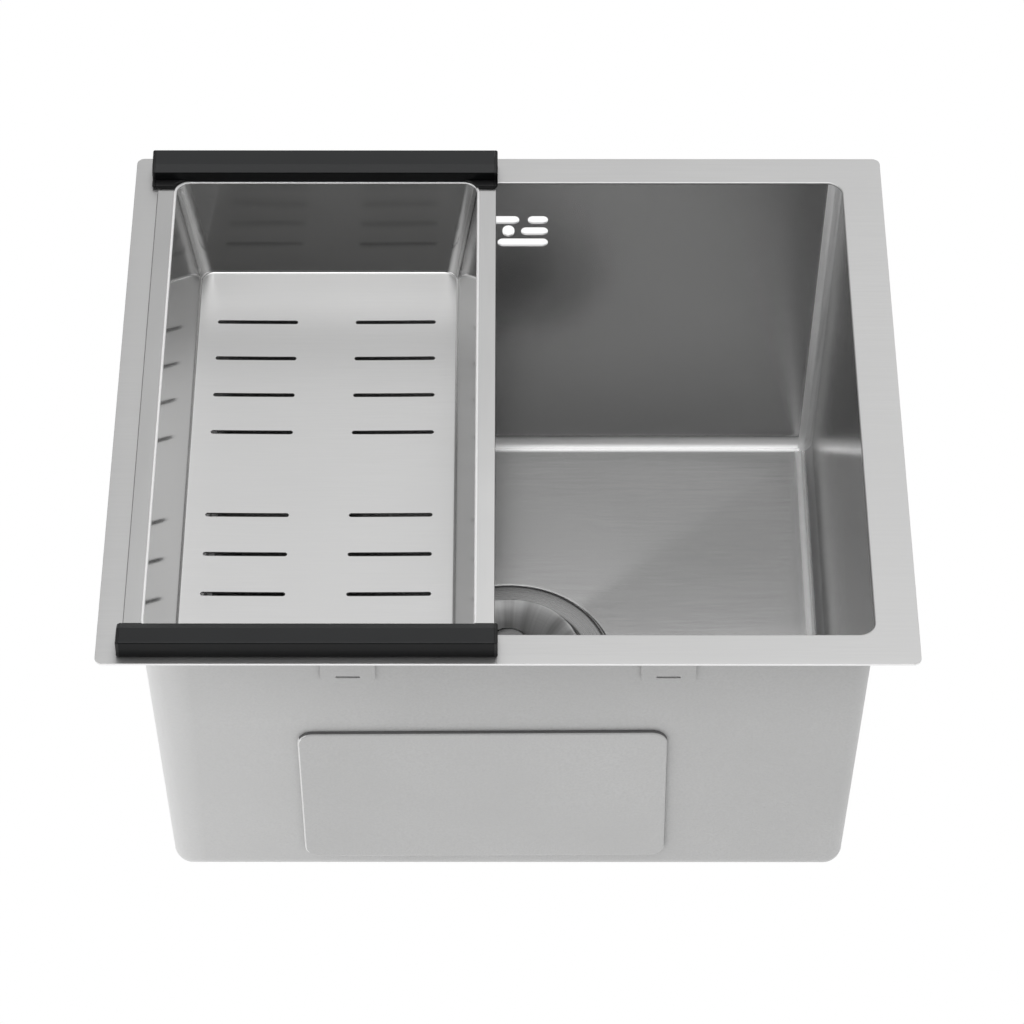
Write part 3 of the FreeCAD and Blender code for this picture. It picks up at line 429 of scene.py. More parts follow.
def spun_basket(name, tone=0.85, rough=0.40, metal=0.55):
    """Spun basket: circles from the lathe under broad radial streaks; the streaks are painted highlight in the colour
    and also vary the roughness and bump.
    """
    nd = Nodes(name)
    sep = nd.new("ShaderNodeSeparateXYZ")
    nd.link(nd.co, sep.inputs[0])
    y = nd.math("ADD", sep.outputs[1], -DRAIN_Y * MM)
    r = nd.math("SQRT", nd.math("ADD", nd.math("MULTIPLY", sep.outputs[0], sep.outputs[0]), nd.math("MULTIPLY", y, y)))
    rings = nd.new("ShaderNodeTexNoise")
    rings.inputs["Scale"].default_value = 1900.0
    rings.inputs["Detail"].default_value = 2.0
    ring_at = nd.new("ShaderNodeCombineXYZ")
    nd.link(r, ring_at.inputs[0])
    nd.link(sep.outputs[2], ring_at.inputs[2])
    nd.link(ring_at.outputs[0], rings.inputs["Vector"])
    dirs = nd.new("ShaderNodeCombineXYZ")
    nd.link(nd.math("DIVIDE", sep.outputs[0], nd.math("ADD", r, 0.0005)), dirs.inputs[0])
    nd.link(nd.math("DIVIDE", y, nd.math("ADD", r, 0.0005)), dirs.inputs[1])
    radial_sheen = nd.new("ShaderNodeTexNoise")
    radial_sheen.inputs["Scale"].default_value = 5.5
    radial_sheen.inputs["Detail"].default_value = 2.5
    nd.link(dirs.outputs[0], radial_sheen.inputs["Vector"])
    p = radial_sheen.outputs["Fac"]
    # radial streaks in the colour: painted highlight
    col = nd.mix(nd.remap(p, 0.0, 1.0, 0.36, 0.64), tuple([tone * 0.58] * 3), tuple([tone] * 3))
    col = nd.mix(nd.remap(rings.outputs["Fac"], 0.0, 0.25, 0.35, 0.65), col, tuple([tone * 0.7] * 3))
    n1 = nd.bump(p, 0.5, 0.0006)
    nd.set(Base_Color=col, Roughness=nd.remap(p, rough - 0.06, rough + 0.06), Metallic=metal,
           Normal=nd.bump(rings.outputs["Fac"], 0.4, 0.00002, n1))
    return nd.mat


def sprayed_coat(name, tone=(0.515, 0.515, 0.513), rough=0.52, grain=2.0, cloud=0.04, painted_light_and_shade=False):
    """Sprayed anti-drumming coat: matt, finely pebbled, with slight random changes of tone; with the option on, painted
    shade under the rim and painted light towards the left end.
    """
    nd = Nodes(name)
    a = nd.noise(620.0, 3.0, 0.6)
    b = nd.noise(240.0, 2.0, 0.5, offset=(0.2, 0.6, 0.1))
    c = nd.noise(11.0, 3.0, 0.5, offset=(0.4, 0.1, 0.8))
    low = tuple(x * (1 - cloud) for x in tone)
    high = tuple(x * (1 + cloud) for x in tone)
    col = nd.mix(nd.remap(c, 0.0, 1.0), low, high)
    col = nd.mix(nd.remap(a, 0.0, 1.0), tuple(x * 0.955 for x in low), col)
    if painted_light_and_shade:
        # painted shade: darker just under the rim, fading out over 85 mm; painted light: lighter over the left part of
        # the bowl and most on its left end
        sp = nd.new("ShaderNodeSeparateXYZ")
        nd.link(nd.co, sp.inputs[0])
        left_end_light = nd.remap(sp.outputs[0], 1.0, 0.0, -0.2235, -0.195)
        under_rim_shade = nd.remap(sp.outputs[2], 0.25, 0.0, -0.004, -0.085)
        col = nd.mix(under_rim_shade, col, tuple(x * 0.45 for x in tone))
        left_side_light = nd.remap(sp.outputs[0], 1.0, 0.0, -0.200, -0.060)
        col = nd.mix(nd.math("MULTIPLY", left_side_light, 0.32), col, tuple(min(1.0, x * 1.45) for x in tone))
        col = nd.mix(nd.math("MULTIPLY", left_end_light, 0.75), col, tuple(min(1.0, x * 1.55) for x in tone))
    h = nd.math("MULTIPLY_ADD", a, 0.6, nd.math("MULTIPLY", b, 0.4))
    n1 = nd.bump(h, 0.7 * grain, 0.00030)
    nd.set(Base_Color=col, Roughness=nd.remap(a, rough - 0.05, rough + 0.07), Normal=n1)
    nd.bsdf.inputs["Specular IOR Level"].default_value = 0.45
    return nd.mat


def moulded(name, tone=(0.010, 0.010, 0.0105), rough=0.40, grain=0.5, spec=0.5, scale=1600.0):
    """Moulded plastic with a fine spark-eroded grain."""
    nd = Nodes(name)
    a = nd.noise(scale, 2.0, 0.6)
    c = nd.noise(30.0, 2.0, 0.5, offset=(0.3, 0.3, 0.9))
    col = nd.mix(nd.remap(c, 0.0, 1.0), tuple(x * 0.9 for x in tone), tuple(x * 1.1 for x in tone))
    n1 = nd.bump(a, grain, 0.00003)
    nd.set(Base_Color=col, Roughness=nd.math("ADD", nd.remap(a, rough - 0.04, rough + 0.04), nd.remap(c, -0.02, 0.02)), Normal=n1)
    nd.bsdf.inputs["Specular IOR Level"].default_value = spec
    return nd.mat


def rubber(name, tone=(0.018, 0.018, 0.018), rough=0.7):
    nd = Nodes(name)
    a = nd.noise(1200.0, 2.0, 0.6)
    c = nd.noise(60.0, 2.0, 0.5)
    col = nd.mix(nd.remap(c, 0.0, 1.0), tuple(x * 0.8 for x in tone), tuple(x * 1.25 for x in tone))
    nd.set(Base_Color=col, Roughness=nd.remap(a, rough - 0.08, rough + 0.08), Normal=nd.bump(a, 0.4, 0.00005))
    nd.bsdf.inputs["Specular IOR Level"].default_value = 0.35
    return nd.mat


def cast_brass(name):
    nd = Nodes(name)
    a = nd.noise(900.0, 3.0, 0.6)
    col = nd.mix(nd.remap(a, 0.0, 1.0), (0.55, 0.40, 0.16), (0.72, 0.55, 0.24))
    nd.set(Base_Color=col, Roughness=nd.remap(a, 0.25, 0.42), Metallic=1.0, Normal=nd.bump(a, 0.3, 0.00003))
    return nd.mat


STEEL_X = steel("steel_drawn_x", "x", tone=0.60, rough=0.20, spread=0.03, aniso=0.3, fine=1.0, wave=0.22, cloud=0.035)
STEEL_Y = steel("steel_drawn_y", "y", tone=0.61, rough=0.20, spread=0.03, aniso=0.3, fine=0.9, wave=0.22, cloud=0.03)
# bowl corners: linished steel, made pale and less metallic as painted highlight
CORNER_HIGHLIGHT_STEEL = linished("linished_corner_painted_highlight", "z", tone=0.95, rough=0.42, metal=0.40, streak=0.22)
CORNER_PAINTED_HIGHLIGHT = linished("corner_painted_highlight_white", "z", tone=1.0, rough=0.42, metal=0.05, streak=0.16)
# fold bands: painted highlight along the bowl's folds
FOLD_X_HIGHLIGHT = fold_painted_highlight("pressed_fold_x_painted_highlight", "x", 2, 0.237, 0.227,
                          [(0.0, 0.0), (0.05, 0.35), (0.14, 0.85), (0.26, 1.0), (0.45, 0.8), (0.68, 0.25), (0.85, 0.0)])
FOLD_Y_HIGHLIGHT = fold_painted_highlight("pressed_fold_y_painted_highlight", "y", 0, 0.2015, 0.2115,
                          [(0.0, 0.0), (0.12, 0.25), (0.24, 1.0), (0.46, 1.0), (0.60, 0.2), (0.72, 0.0)])
FOLD_UPPER = linished("pressed_fold_upper", "y", tone=0.62, rough=0.33, metal=0.72, streak=0.05)
RIM_STEEL = steel("rim_steel", "x", tone=0.625, rough=0.40, spread=0.02, aniso=0.1, fine=0.7, wave=0.08, cloud=0.03)
TRAY_X_STEEL = steel("tray_steel_x", "x", tone=0.60, rough=0.12, spread=0.015, aniso=0.2, fine=0.2, wave=0.45)
TRAY_Y_STEEL = steel("tray_steel_y", "y", tone=0.66, rough=0.12, spread=0.015, aniso=0.2, fine=0.2, wave=0.45)
# dark steel for cut edges: its low tone is painted shade for the gap lines at the tray's flange and slots
EDGE_STEEL_SHADE = steel("cut_edge_painted_shade", "x", tone=0.30, rough=0.4, spread=0.05, aniso=0.0, wave=0.0)
RIM_EDGE = steel("rim_edge_steel", "x", tone=0.75, rough=0.3, spread=0.04, aniso=0.0, wave=0.0)
# tray mouth: pale, less metallic steel as painted highlight
TRAY_LIP_HIGHLIGHT = linished("tray_lip_painted_highlight", "x", tone=0.98, rough=0.35, metal=0.35, streak=0.03)
TRAY_FLOOR = steel("tray_floor_steel", "x", tone=0.715, rough=0.36, spread=0.02, aniso=0.15, fine=0.7, wave=0.25)
# the bowl's outer coat, with painted shade under the rim and painted light on its left
COAT = sprayed_coat("sprayed_coat", painted_light_and_shade=True)
PAD_COAT = sprayed_coat("pad_coat", tone=(0.53, 0.53, 0.528), grain=1.6)
# pad edges: a dark coat as painted shade and a pale coat as painted light
PAD_PAINTED_SHADE = sprayed_coat("pad_edge_painted_shade", tone=(0.13, 0.13, 0.13), grain=1.2)
PAD_PAINTED_LIGHT = sprayed_coat("pad_edge_painted_light", tone=(0.86, 0.86, 0.855), grain=1.2)
TURNED = turned_steel("turned_steel", tone=0.32, rough=0.26, spread=0.08, aniso=0.6, fine=0.7)
BASKET_STEEL = spun_basket("basket_steel", tone=0.74, rough=0.42, metal=0.45)
FUNNEL = turned_steel("funnel_steel", tone=0.70, rough=0.30, spread=0.02, aniso=0.2, fine=0.25)
KNOB = turned_steel("knob_steel", tone=0.20, rough=0.20, spread=0.05, aniso=0.5, fine=0.8)
BLACK = moulded("handle_black", tone=(0.0128, 0.0138, 0.0148), rough=0.42, grain=0.4, spec=0.34)
# darker black for the handles' upright faces: painted shade, with less specular
BLACK_FACE_SHADE = moulded("handle_face_painted_shade", tone=(0.0045, 0.0048, 0.0052), rough=0.36, grain=0.4, spec=0.15)
CAP_BLACK = moulded("cap_black", tone=(0.007, 0.007, 0.0075), rough=0.45, grain=0.4, spec=0.35)
WASTE_BLACK = moulded("waste_black", tone=(0.016, 0.016, 0.0165), rough=0.5, grain=0.6)
RUBBER = rubber("gasket_rubber")
STRIP = rubber("strip_silicone", tone=(0.02, 0.02, 0.02), rough=0.55)
BRASS = cast_brass("insert_brass")


# ---------------------------------------------------------------------------
# Bowl: one sheet, seen as rim, tapered walls, folds, four falling facets and
# the seat of the waste, with the overflow slots through its rear wall.
# ---------------------------------------------------------------------------
def levels(z, off):
    """Half sizes of the bowl at height z, on its inside (off 0) or outside (off SHEET)."""
    top, foot = SHEET - off * 1.0, -(FLOOR_Z + off)
    if off:
        top = 0.0
    r = FOLD + off
    out = []
    for open_, floor_ in ((OPEN_X, FLOOR_X), (OPEN_Y, FLOOR_F), (OPEN_Y, FLOOR_B)):
        o, f = open_ + off, floor_ + off
        a = math.atan2(o - f, top - foot)
        tl = r / math.tan((math.pi / 2 + a) / 2)
        zc = foot + r
        zt = zc - r * math.sin(a)
        if z >= zt:
            out.append(o + (f - o) * (top - z) / (top - foot))
        else:
            s = min(1.0, (zc - z) / r)
            out.append(f - tl + r * math.sqrt(max(0.0, 1 - s * s)))
    corner = BOWL_R + off - max(0.0, (FLOOR_X + off) - out[0])
    return out[0], out[1], out[2], max(corner, 1.6)


def soft_min(vals, w):
    vals = np.array(vals)
    lo = vals.min()
    return float(lo - w * math.log(np.exp(-(vals - lo) / w).sum()))


def fall(x, y):
    """Height of the inner floor: four facets towards the waste, with creases that fade to the corners."""
    ex, eb, ef = FLOOR_X - FOLD - 0.6, FLOOR_B - FOLD - 0.6, FLOOR_F - FOLD - 0.6
    sx = (ex - abs(x)) / (ex - DISH_X)
    sb = (eb - y) / (eb - (DISH_Y + DRAIN_Y))
    sf = (y + ef) / (ef + (-DISH_Y + DRAIN_Y))
    lo = min(sx, sb, sf)
    w = 0.004 + 0.17 * (1 - max(0.0, min(1.0, lo))) ** 1.4
    s = soft_min([sx, sb, sf], w)
    # soft start and end
    s = max(0.0, s)
    s = s - 0.02 * (1 - math.exp(-s / 0.02))
    return -FLOOR_Z - DISH * min(s, 1.0)


def bowl():
    b = Build()
    NC, SX, SY = 12, 44, 40
    n = 4 * NC + 2 * SX + 2 * SY
    rings, mats = [], []
    INX, RIMX, OUT = 0, 2, 4

    def add(pts, mat):
        rings.append(b.ring(pts))
        mats.append(mat)

    h = levels(-FLOOR_Z, 0.0)
    base = rr(h[0], h[1], h[2], h[3], -FLOOR_Z, NC, SX, SY)
    ang = [math.atan2(p[1] - DRAIN_Y, p[0]) for p in base]

    def circle(r, z, a=ang):
        return [(r * math.cos(t), DRAIN_Y + r * math.sin(t), z(r * math.cos(t), DRAIN_Y + r * math.sin(t)) if callable(z) else z)
                for t in a]

    # seat of the waste, from its hole outwards
    add(circle(HOLE_R, -SEAT_Z - SHEET + 0.35), INX)
    add(circle(HOLE_R, -SEAT_Z - 0.35), INX)
    add(circle(HOLE_R + 0.1, -SEAT_Z - 0.1), INX)
    add(circle(HOLE_R + 0.35, -SEAT_Z), INX)
    for r in (60.0, 65.0, 68.0):
        add(circle(r, -SEAT_Z), INX)
    add(circle(SEAT_R - 0.9, -SEAT_Z), INX)
    add(circle(SEAT_R - 0.4, -SEAT_Z + 0.05), INX)
    add(circle(SEAT_R - 0.1, lambda x, y: -SEAT_Z + 0.5 * (fall(x, y) + SEAT_Z)), INX)
    add(circle(SEAT_R + 0.15, lambda x, y: fall(x, y) - 0.06), INX)
    add(circle(SEAT_R + 0.6, fall), INX)
    c0 = circle(SEAT_R + 2.0, fall)
    add(c0, INX)
    m = 30
    for k in range(1, m + 1):
        t = (k / m) ** 1.12
        pts = []
        for (x0, y0, _), (x1, y1, _) in zip(c0, base):
            x, y = x0 + (x1 - x0) * t, y0 + (y1 - y0) * t
            pts.append((x, y, fall(x, y) if k < m else -FLOOR_Z))
        add(pts, INX)
    # fold up to the wall
    zc = -FLOOR_Z + FOLD
    for k in range(1, 15):
        phi = math.radians(90 - (90 - 2.0) * k / 14)
        z = zc - FOLD * math.sin(phi)
        h = levels(z, 0.0)
        add(rr(h[0], h[1], h[2], h[3], z, NC, SX, SY), INX)
    for z in (-226.0, -210.0, -170.0, -120.0, -70.0, -30.0, -8.0, -0.6, 0.45):
        h = levels(z, 0.0)
        add(rr(h[0], h[1], h[2], h[3], z, NC, SX, SY), INX)
    # mouth
    h = levels(0.5, 0.0)
    for k in range(1, 7):
        t = math.radians(90.0 * k / 6)
        g = 1.0 - math.cos(t)
        add(rr(h[0] + g, h[1] + g, h[2] + g, h[3] + g, 0.5 + math.sin(t), NC, SX, SY), RIMX)
    add(rr(OPEN_X + 1.8, OPEN_Y + 1.8, OPEN_Y + 1.8, BOWL_R + 1.8, SHEET, NC, SX, SY), RIMX)
    add(rr(RIM_X - 8.0, RIM_Y - 8.0, RIM_Y - 8.0, 6.0, SHEET, NC, SX, SY), RIMX)
    e = 0.3
    add(rr(RIM_X - e, RIM_Y - e, RIM_Y - e, RIM_R - e, SHEET, NC, SX, SY), RIMX)
    add(rr(RIM_X - 0.09, RIM_Y - 0.09, RIM_Y - 0.09, RIM_R, SHEET - 0.09, NC, SX, SY), RIMX + 1)
    add(rr(RIM_X, RIM_Y, RIM_Y, RIM_R, SHEET - e, NC, SX, SY), RIMX + 1)
    add(rr(RIM_X, RIM_Y, RIM_Y, RIM_R, 0.2, NC, SX, SY), RIMX + 1)
    add(rr(RIM_X - 0.2, RIM_Y - 0.2, RIM_Y - 0.2, RIM_R, 0.0, NC, SX, SY), OUT)
    # underside of the rim, then down the outside
    h = levels(-1.6, SHEET)
    for g, z in ((8.0, 0.0), (1.6, 0.0), (0.9, -0.15), (0.35, -0.6), (0.08, -1.1)):
        add(rr(h[0] + g, h[1] + g, h[2] + g, h[3] + g, z, NC, SX, SY), OUT)
    for z in (-1.6, -6.0, -20.0, -60.0, -110.0, -160.0, -200.0, -224.0):
        h = levels(z, SHEET)
        add(rr(h[0], h[1], h[2], h[3], z, NC, SX, SY), OUT)
    ro = FOLD + SHEET
    zc = -(FLOOR_Z + SHEET) + ro
    for k in range(0, 13):
        phi = math.radians(2.0 + 88.0 * k / 12)
        z = zc - ro * math.sin(phi)
        h = levels(z, SHEET)
        add(rr(h[0], h[1], h[2], h[3], z, NC, SX, SY), OUT)
    h = levels(-(FLOOR_Z + SHEET), SHEET)
    base_o = rr(h[0], h[1], h[2], h[3], 0.0, NC, SX, SY)
    c1 = circle(SEAT_R + SHEET + 1.0, 0.0)
    for k in range(1, 13):
        t = k / 12
        pts = []
        for (x0, y0, _), (x1, y1, _) in zip(base_o, c1):
            x, y = x0 + (x1 - x0) * t, y0 + (y1 - y0) * t
            pts.append((x, y, fall(x, y) - SHEET))
        add(pts, OUT)
    add(circle(SEAT_R + SHEET, -SEAT_Z - SHEET + 0.2), OUT)
    add(circle(SEAT_R + SHEET - 0.3, -SEAT_Z - SHEET), OUT)
    add(circle(HOLE_R + 0.35, -SEAT_Z - SHEET), OUT)
    b.strip(rings, mats, closed_loop=True)
    ob = b.obj("bowl", [STEEL_X, STEEL_Y, RIM_STEEL, RIM_EDGE, COAT, CORNER_HIGHLIGHT_STEEL, EDGE_STEEL_SHADE, FOLD_X_HIGHLIGHT, FOLD_Y_HIGHLIGHT, CORNER_PAINTED_HIGHLIGHT, FOLD_UPPER])
    fix_normals(ob)
    # overflow slots, cut square to the rear wall
    cutter = overflow_cutter()
    cut(ob, cutter)
    # side walls are drawn the other way
    me = ob.data
    for p in me.polygons:
        nx, ny, nz = p.normal
        x, y, z = p.center
        if p.material_index != 0 or z > 0.0005:
            continue
        flat = math.hypot(nx, ny)
        # corners take the linished steel lightened as painted highlight; folds take their painted highlight bands
        if z > -0.2365 and flat > 0.30 and min(abs(nx), abs(ny)) / flat > 0.16:
            p.material_index = 9 if abs(nx) < 0.62 * flat else 5
        elif z > -0.2376 and abs(x) > 0.1985 and -0.183 < y < 0.180 and nz > 0.86:
            p.material_index = 8
        elif z > -0.2372 and abs(nx) > abs(ny) and 0.12 < nz < 0.996:
            p.material_index = 8 if nz > 0.86 else 10
        elif z > -0.2372 and abs(ny) > abs(nx) and 0.05 < nz < 0.9985:
            p.material_index = 7
        elif z > -0.2365 and abs(nx) > 0.72 and abs(nx) > abs(ny):
            p.material_index = 1
    sharp_and_weight(ob, 40.0)
    return ob


def obround2(x, z, w, h, grow=0.0, n=10):
    """Counter-clockwise outline of a slot in the X-Z plane; upright where h > w."""
    w, h = w + 2 * grow, h + 2 * grow
    r = min(w, h) / 2
    pts = []
    if w >= h:
        a = w / 2 - r
        for i in range(n + 1):
            t = math.radians(-90 + 180 * i / n)
            pts.append((x + a + r * math.cos(t), z + r * math.sin(t)))
        for i in range(n + 1):
            t = math.radians(90 + 180 * i / n)
            pts.append((x - a + r * math.cos(t), z + r * math.sin(t)))
    else:
        a = h / 2 - r
        for i in range(n + 1):
            t = math.radians(0 + 180 * i / n)
            pts.append((x + r * math.cos(t), z + a + r * math.sin(t)))
        for i in range(n + 1):
            t = math.radians(180 + 180 * i / n)
            pts.append((x + r * math.cos(t), z - a + r * math.sin(t)))
    return pts


def wall_back(z, off=0.0):
    return levels(z, off)[2]


def overflow_cutter():
    b = Build()
    E, H = 26.7, 6.7
    z1, z2, z3 = -30.9, -40.8, -50.7
    slots = [(-(E - 17.0), z1, 34.0, H), (E - 6.8, z1, 13.6, H), (-(E - 9.1), z2, 18.2, H), (E - 9.1, z2, 18.2, H),
             (0.0, z2 + 0.2, 8.0, 9.8), (-(E - 6.8), z3, 13.6, H), (E - 17.0, z3, 34.0, H)]
    for x, z, w, h in slots:
        rings = []
        for dy, grow in ((-3.0, 0.18 + 0.0), (-0.18, 0.18), (0.0, 0.06), (0.12, 0.0), (SHEET - 0.12, 0.0), (SHEET, 0.06),
                         (SHEET + 0.18, 0.18), (SHEET + 3.0, 0.18)):
            pts = obround2(x, z, w, h, grow)
            rings.append(b.ring([(px, wall_back(pz) + dy, pz) for px, pz in pts]))
        for k in range(len(rings) - 1):
            b.bridge(rings[k], rings[k + 1], 3)
        b.face(list(reversed(rings[0])), 3)
        b.face(rings[-1], 3)
    ob = b.obj("overflow_cutter", [STEEL_X, STEEL_Y, RIM_STEEL, RIM_EDGE, COAT, CORNER_HIGHLIGHT_STEEL, EDGE_STEEL_SHADE, FOLD_X_HIGHLIGHT, FOLD_Y_HIGHLIGHT, CORNER_PAINTED_HIGHLIGHT, FOLD_UPPER])
    fix_normals(ob)
    return ob


BOWL = bowl()
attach(BOWL, "sink")
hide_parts("bowl_shell")


# ---------------------------------------------------------------------------
# Colander tray
# ---------------------------------------------------------------------------
T_FX, T_FY, T_Z, T_S = 113.2, 212.5, 1.8, 1.0
T_IX, T_IY, T_BX, T_BY, T_FZ, T_R = 100.5, 199.6, 87.2, 187.5, 68.5, 9.0


def tray_levels(z, off):
    top = T_Z + T_S if not off else T_Z
    foot = -(T_FZ + off)
    r = 1.6 + off
    out = []
    for o, f in ((T_IX, T_BX), (T_IY, T_BY)):
        o, f = o + off, f + off
        a = math.atan2(o - f, top - foot)
        tl = r / math.tan((math.pi / 2 + a) / 2)
        zc = foot + r
        zt = zc - r * math.sin(a)
        if z >= zt:
            out.append(o + (f - o) * (top - z) / (top - foot))
        else:
            s = min(1.0, (zc - z) / r)
            out.append(f - tl + r * math.sqrt(max(0.0, 1 - s * s)))
    corner = T_R + off - max(0.0, (T_BX + off) - out[0])
    return out[0], out[1], max(corner, 1.0)


def tray_dish(x, y):
    """The floor is drawn down a little between its edges."""
    u, v = x / T_BX, y / T_BY
    u, v = min(1.0, abs(u)), min(1.0, abs(v))
    return -0.75 * (1 - u ** 2.2) * (1 - v ** 6)


def tray():
    b = Build()
    NC, SX, SY = 10, 26, 56
    rings, mats = [], []
    INX, SIDE, EDGE, LIP = 0, 1, 2, 4
    cx = TRAY_X0

    def add(hx, hy, r, z, mat):
        pts = rr(hx, hy, hy, r, z, NC, SX, SY)
        rings.append(b.ring([(x + cx, y, zz) for x, y, zz in pts]))
        mats.append(mat)

    h = tray_levels(-T_FZ, 0.0)
    # inner floor from its middle line out
    m = 14
    for k in range(m):
        t = (k + 1) / (m + 1)
        hx, hy = h[0] * t, h[1] - h[0] * (1 - t)
        add(hx, hy, max(0.05, h[2] * t), -T_FZ, INX)
    add(h[0] - 1.2, h[1] - 1.2, h[2], -T_FZ, INX)
    zc = -T_FZ + 1.6
    for k in range(0, 9):
        phi = math.radians(90 - (90 - 3.0) * k / 8)
        z = zc - 1.6 * math.sin(phi)
        g = tray_levels(z, 0.0)
        add(g[0], g[1], g[2], z, INX)
    for z in (-66.0, -55.0, -35.0, -15.0, -1.0, 1.85):
        g = tray_levels(z, 0.0)
        add(g[0], g[1], g[2], z, INX)
    g = tray_levels(2.0, 0.0)
    # the mouth's rounding takes the pale lip steel: painted highlight
    for k in range(1, 6):
        t = math.radians(90.0 * k / 5)
        w = 0.8 * (1 - math.cos(t))
        add(g[0] + w, g[1] + w, g[2] + w, 2.0 + 0.8 * math.sin(t), LIP)
    top = T_Z + T_S
    add(g[0] + 1.6, g[1] + 1.6, g[2] + 1.6, top, INX)
    # the flange's outer edge in dark steel: painted shade
    for k in range(0, 6):
        t = math.pi / 2 * k / 5
        w = 0.5 * (1 - math.sin(t))
        add(T_FX - w, T_FY - w, 2.5, top - 0.5 * (1 - math.cos(t)), INX if k == 0 else EDGE)
    for k in range(1, 5):
        t = math.pi / 2 * k / 4
        w = 0.35 * (1 - math.cos(t))
        add(T_FX - w, T_FY - w, 2.5, T_Z + 0.35 * (1 - math.sin(t)), EDGE)
    g = tray_levels(T_Z - 1.2, T_S)
    for w, z in ((1.2, T_Z), (0.6, T_Z - 0.12), (0.15, T_Z - 0.6)):
        add(g[0] + w, g[1] + w, g[2] + w, z, INX)
    for z in (T_Z - 1.2, -2.0, -20.0, -45.0, -62.0, -66.4):
        g = tray_levels(z, T_S)
        add(g[0], g[1], g[2], z, INX)
    zc = -(T_FZ + T_S) + 2.6
    for k in range(0, 9):
        phi = math.radians(4.0 + 86.0 * k / 8)
        z = zc - 2.6 * math.sin(phi)
        g = tray_levels(z, T_S)
        add(g[0], g[1], g[2], z, INX)
    h2 = tray_levels(-(T_FZ + T_S), T_S)
    add(h2[0] - 1.0, h2[1] - 1.0, h2[2], -(T_FZ + T_S), INX)
    for k in range(m, 0, -1):
        t = k / (m + 1)
        hx, hy = h2[0] * t, h2[1] - h2[0] * (1 - t)
        add(hx, hy, max(0.05, h2[2] * t), -(T_FZ + T_S), INX)
    b.strip(rings, mats)

    for r, up in ((rings[0], True), (rings[-1], False)):
        f = list(r)
        b.face(f if up else list(reversed(f)), INX)
    ob = b.obj("colander", [TRAY_X_STEEL, TRAY_Y_STEEL, EDGE_STEEL_SHADE, TRAY_FLOOR, TRAY_LIP_HIGHLIGHT])
    fix_normals(ob)
    # slots in the floor, their walls in the dark edge steel as painted shade
    c = Build()
    for colx in (-47.0, 45.6):
        for first, sgn in ((37.0, 1), (37.0, -1)):
            for i in range(4):
                y = sgn * (first + 34.2 * i)
                rs = []
                for z, grow in ((-T_FZ + 2.0, 0.22), (-T_FZ + 0.12, 0.22), (-T_FZ, 0.1), (-T_FZ - 0.15, 0.0),
                                (-T_FZ - T_S + 0.12, 0.0), (-T_FZ - T_S, 0.08), (-T_FZ - T_S - 0.12, 0.2), (-T_FZ - T_S - 2.0, 0.2)):
                    pts = obround2(colx, y, 53.8, 3.2, grow, 8)
                    rs.append(c.ring([(px + cx, py, z) for px, py in pts]))
                for k in range(len(rs) - 1):
                    c.bridge(rs[k], rs[k + 1], 2)
                c.face(list(reversed(rs[0])), 2)
                c.face(rs[-1], 2)
    cutter = c.obj("slot_cutter", [TRAY_X_STEEL, TRAY_Y_STEEL, EDGE_STEEL_SHADE, TRAY_FLOOR, TRAY_LIP_HIGHLIGHT])
    fix_normals(cutter)
    cut(ob, cutter)
    me = ob.data
    for v in me.vertices:
        x, y, z = v.co.x / MM - cx, v.co.y / MM, v.co.z / MM
        if z < -T_FZ + 0.5 and abs(x) < T_BX and abs(y) < T_BY:
            v.co.z += tray_dish(x, y) * MM
    for p in me.polygons:
        nx, ny, nz = p.normal
        x, y, z = p.center.x / MM - cx, p.center.y / MM, p.center.z / MM
        if p.material_index == 0:
            if abs(nx) > 0.6 and abs(nx) > abs(ny):
                p.material_index = 1
            elif z > 1.0 and abs(x) > T_IX - 1 and nz > 0.5:
                p.material_index = 1
            elif nz > 0.9 and z < -T_FZ + 1.0:
                p.material_index = 3
    sharp_and_weight(ob, 40.0)
    return ob


TRAY = tray()
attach(TRAY, "colander")
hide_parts("colander_tray")


# ---------------------------------------------------------------------------
# Handles, their end caps and glide strips
# ---------------------------------------------------------------------------
H_IN, H_D = 200.5, 19.2


def extrude_x(b, outline, x0, x1, mat=0, ease=0.5, steps=4, side=1):
    """Extrudes a y-z outline along X, with both ends eased by shrinking the outline."""
    pts = np.array(outline, float)
    nrm = outline_normals(pts)
    rings = []
    start = []
    for k in range(steps + 1):
        t = math.pi / 2 * k / steps  # 0 at the end face, 90 degrees at full size
        start.append((x0 + ease * (1 - math.cos(t)), ease * (1 - math.sin(t))))
    end = [(x1 - (x - x0), s) for x, s in reversed(start)]
    mid = [(x0 + ease + (x1 - x0 - 2 * ease) * i / 12.0, 0.0) for i in range(1, 12)]
    for x, s in start + mid + end:
        p = pts - nrm * s
        rings.append(b.ring([(x, side * y, z) for y, z in p]))
    for k in range(len(rings) - 1):
        b.bridge(rings[k], rings[k + 1], mat)
    b.face(list(reversed(rings[0])), mat)
    b.face(rings[-1], mat)


def outline_normals(pts):
    """Outward normals at the points of a counter-clockwise outline."""
    nxt, prv = np.roll(pts, -1, 0), np.roll(pts, 1, 0)
    d1 = pts - prv
    d2 = nxt - pts
    d1 /= np.maximum(np.linalg.norm(d1, axis=1, keepdims=True), 1e-9)
    d2 /= np.maximum(np.linalg.norm(d2, axis=1, keepdims=True), 1e-9)
    n1 = np.stack([d1[:, 1], -d1[:, 0]], 1)
    n2 = np.stack([d2[:, 1], -d2[:, 0]], 1)
    n = n1 + n2
    n /= np.maximum(np.linalg.norm(n, axis=1, keepdims=True), 1e-9)
    c = np.clip((n * n1).sum(1), 0.3, 1.0)
    return n / c[:, None]


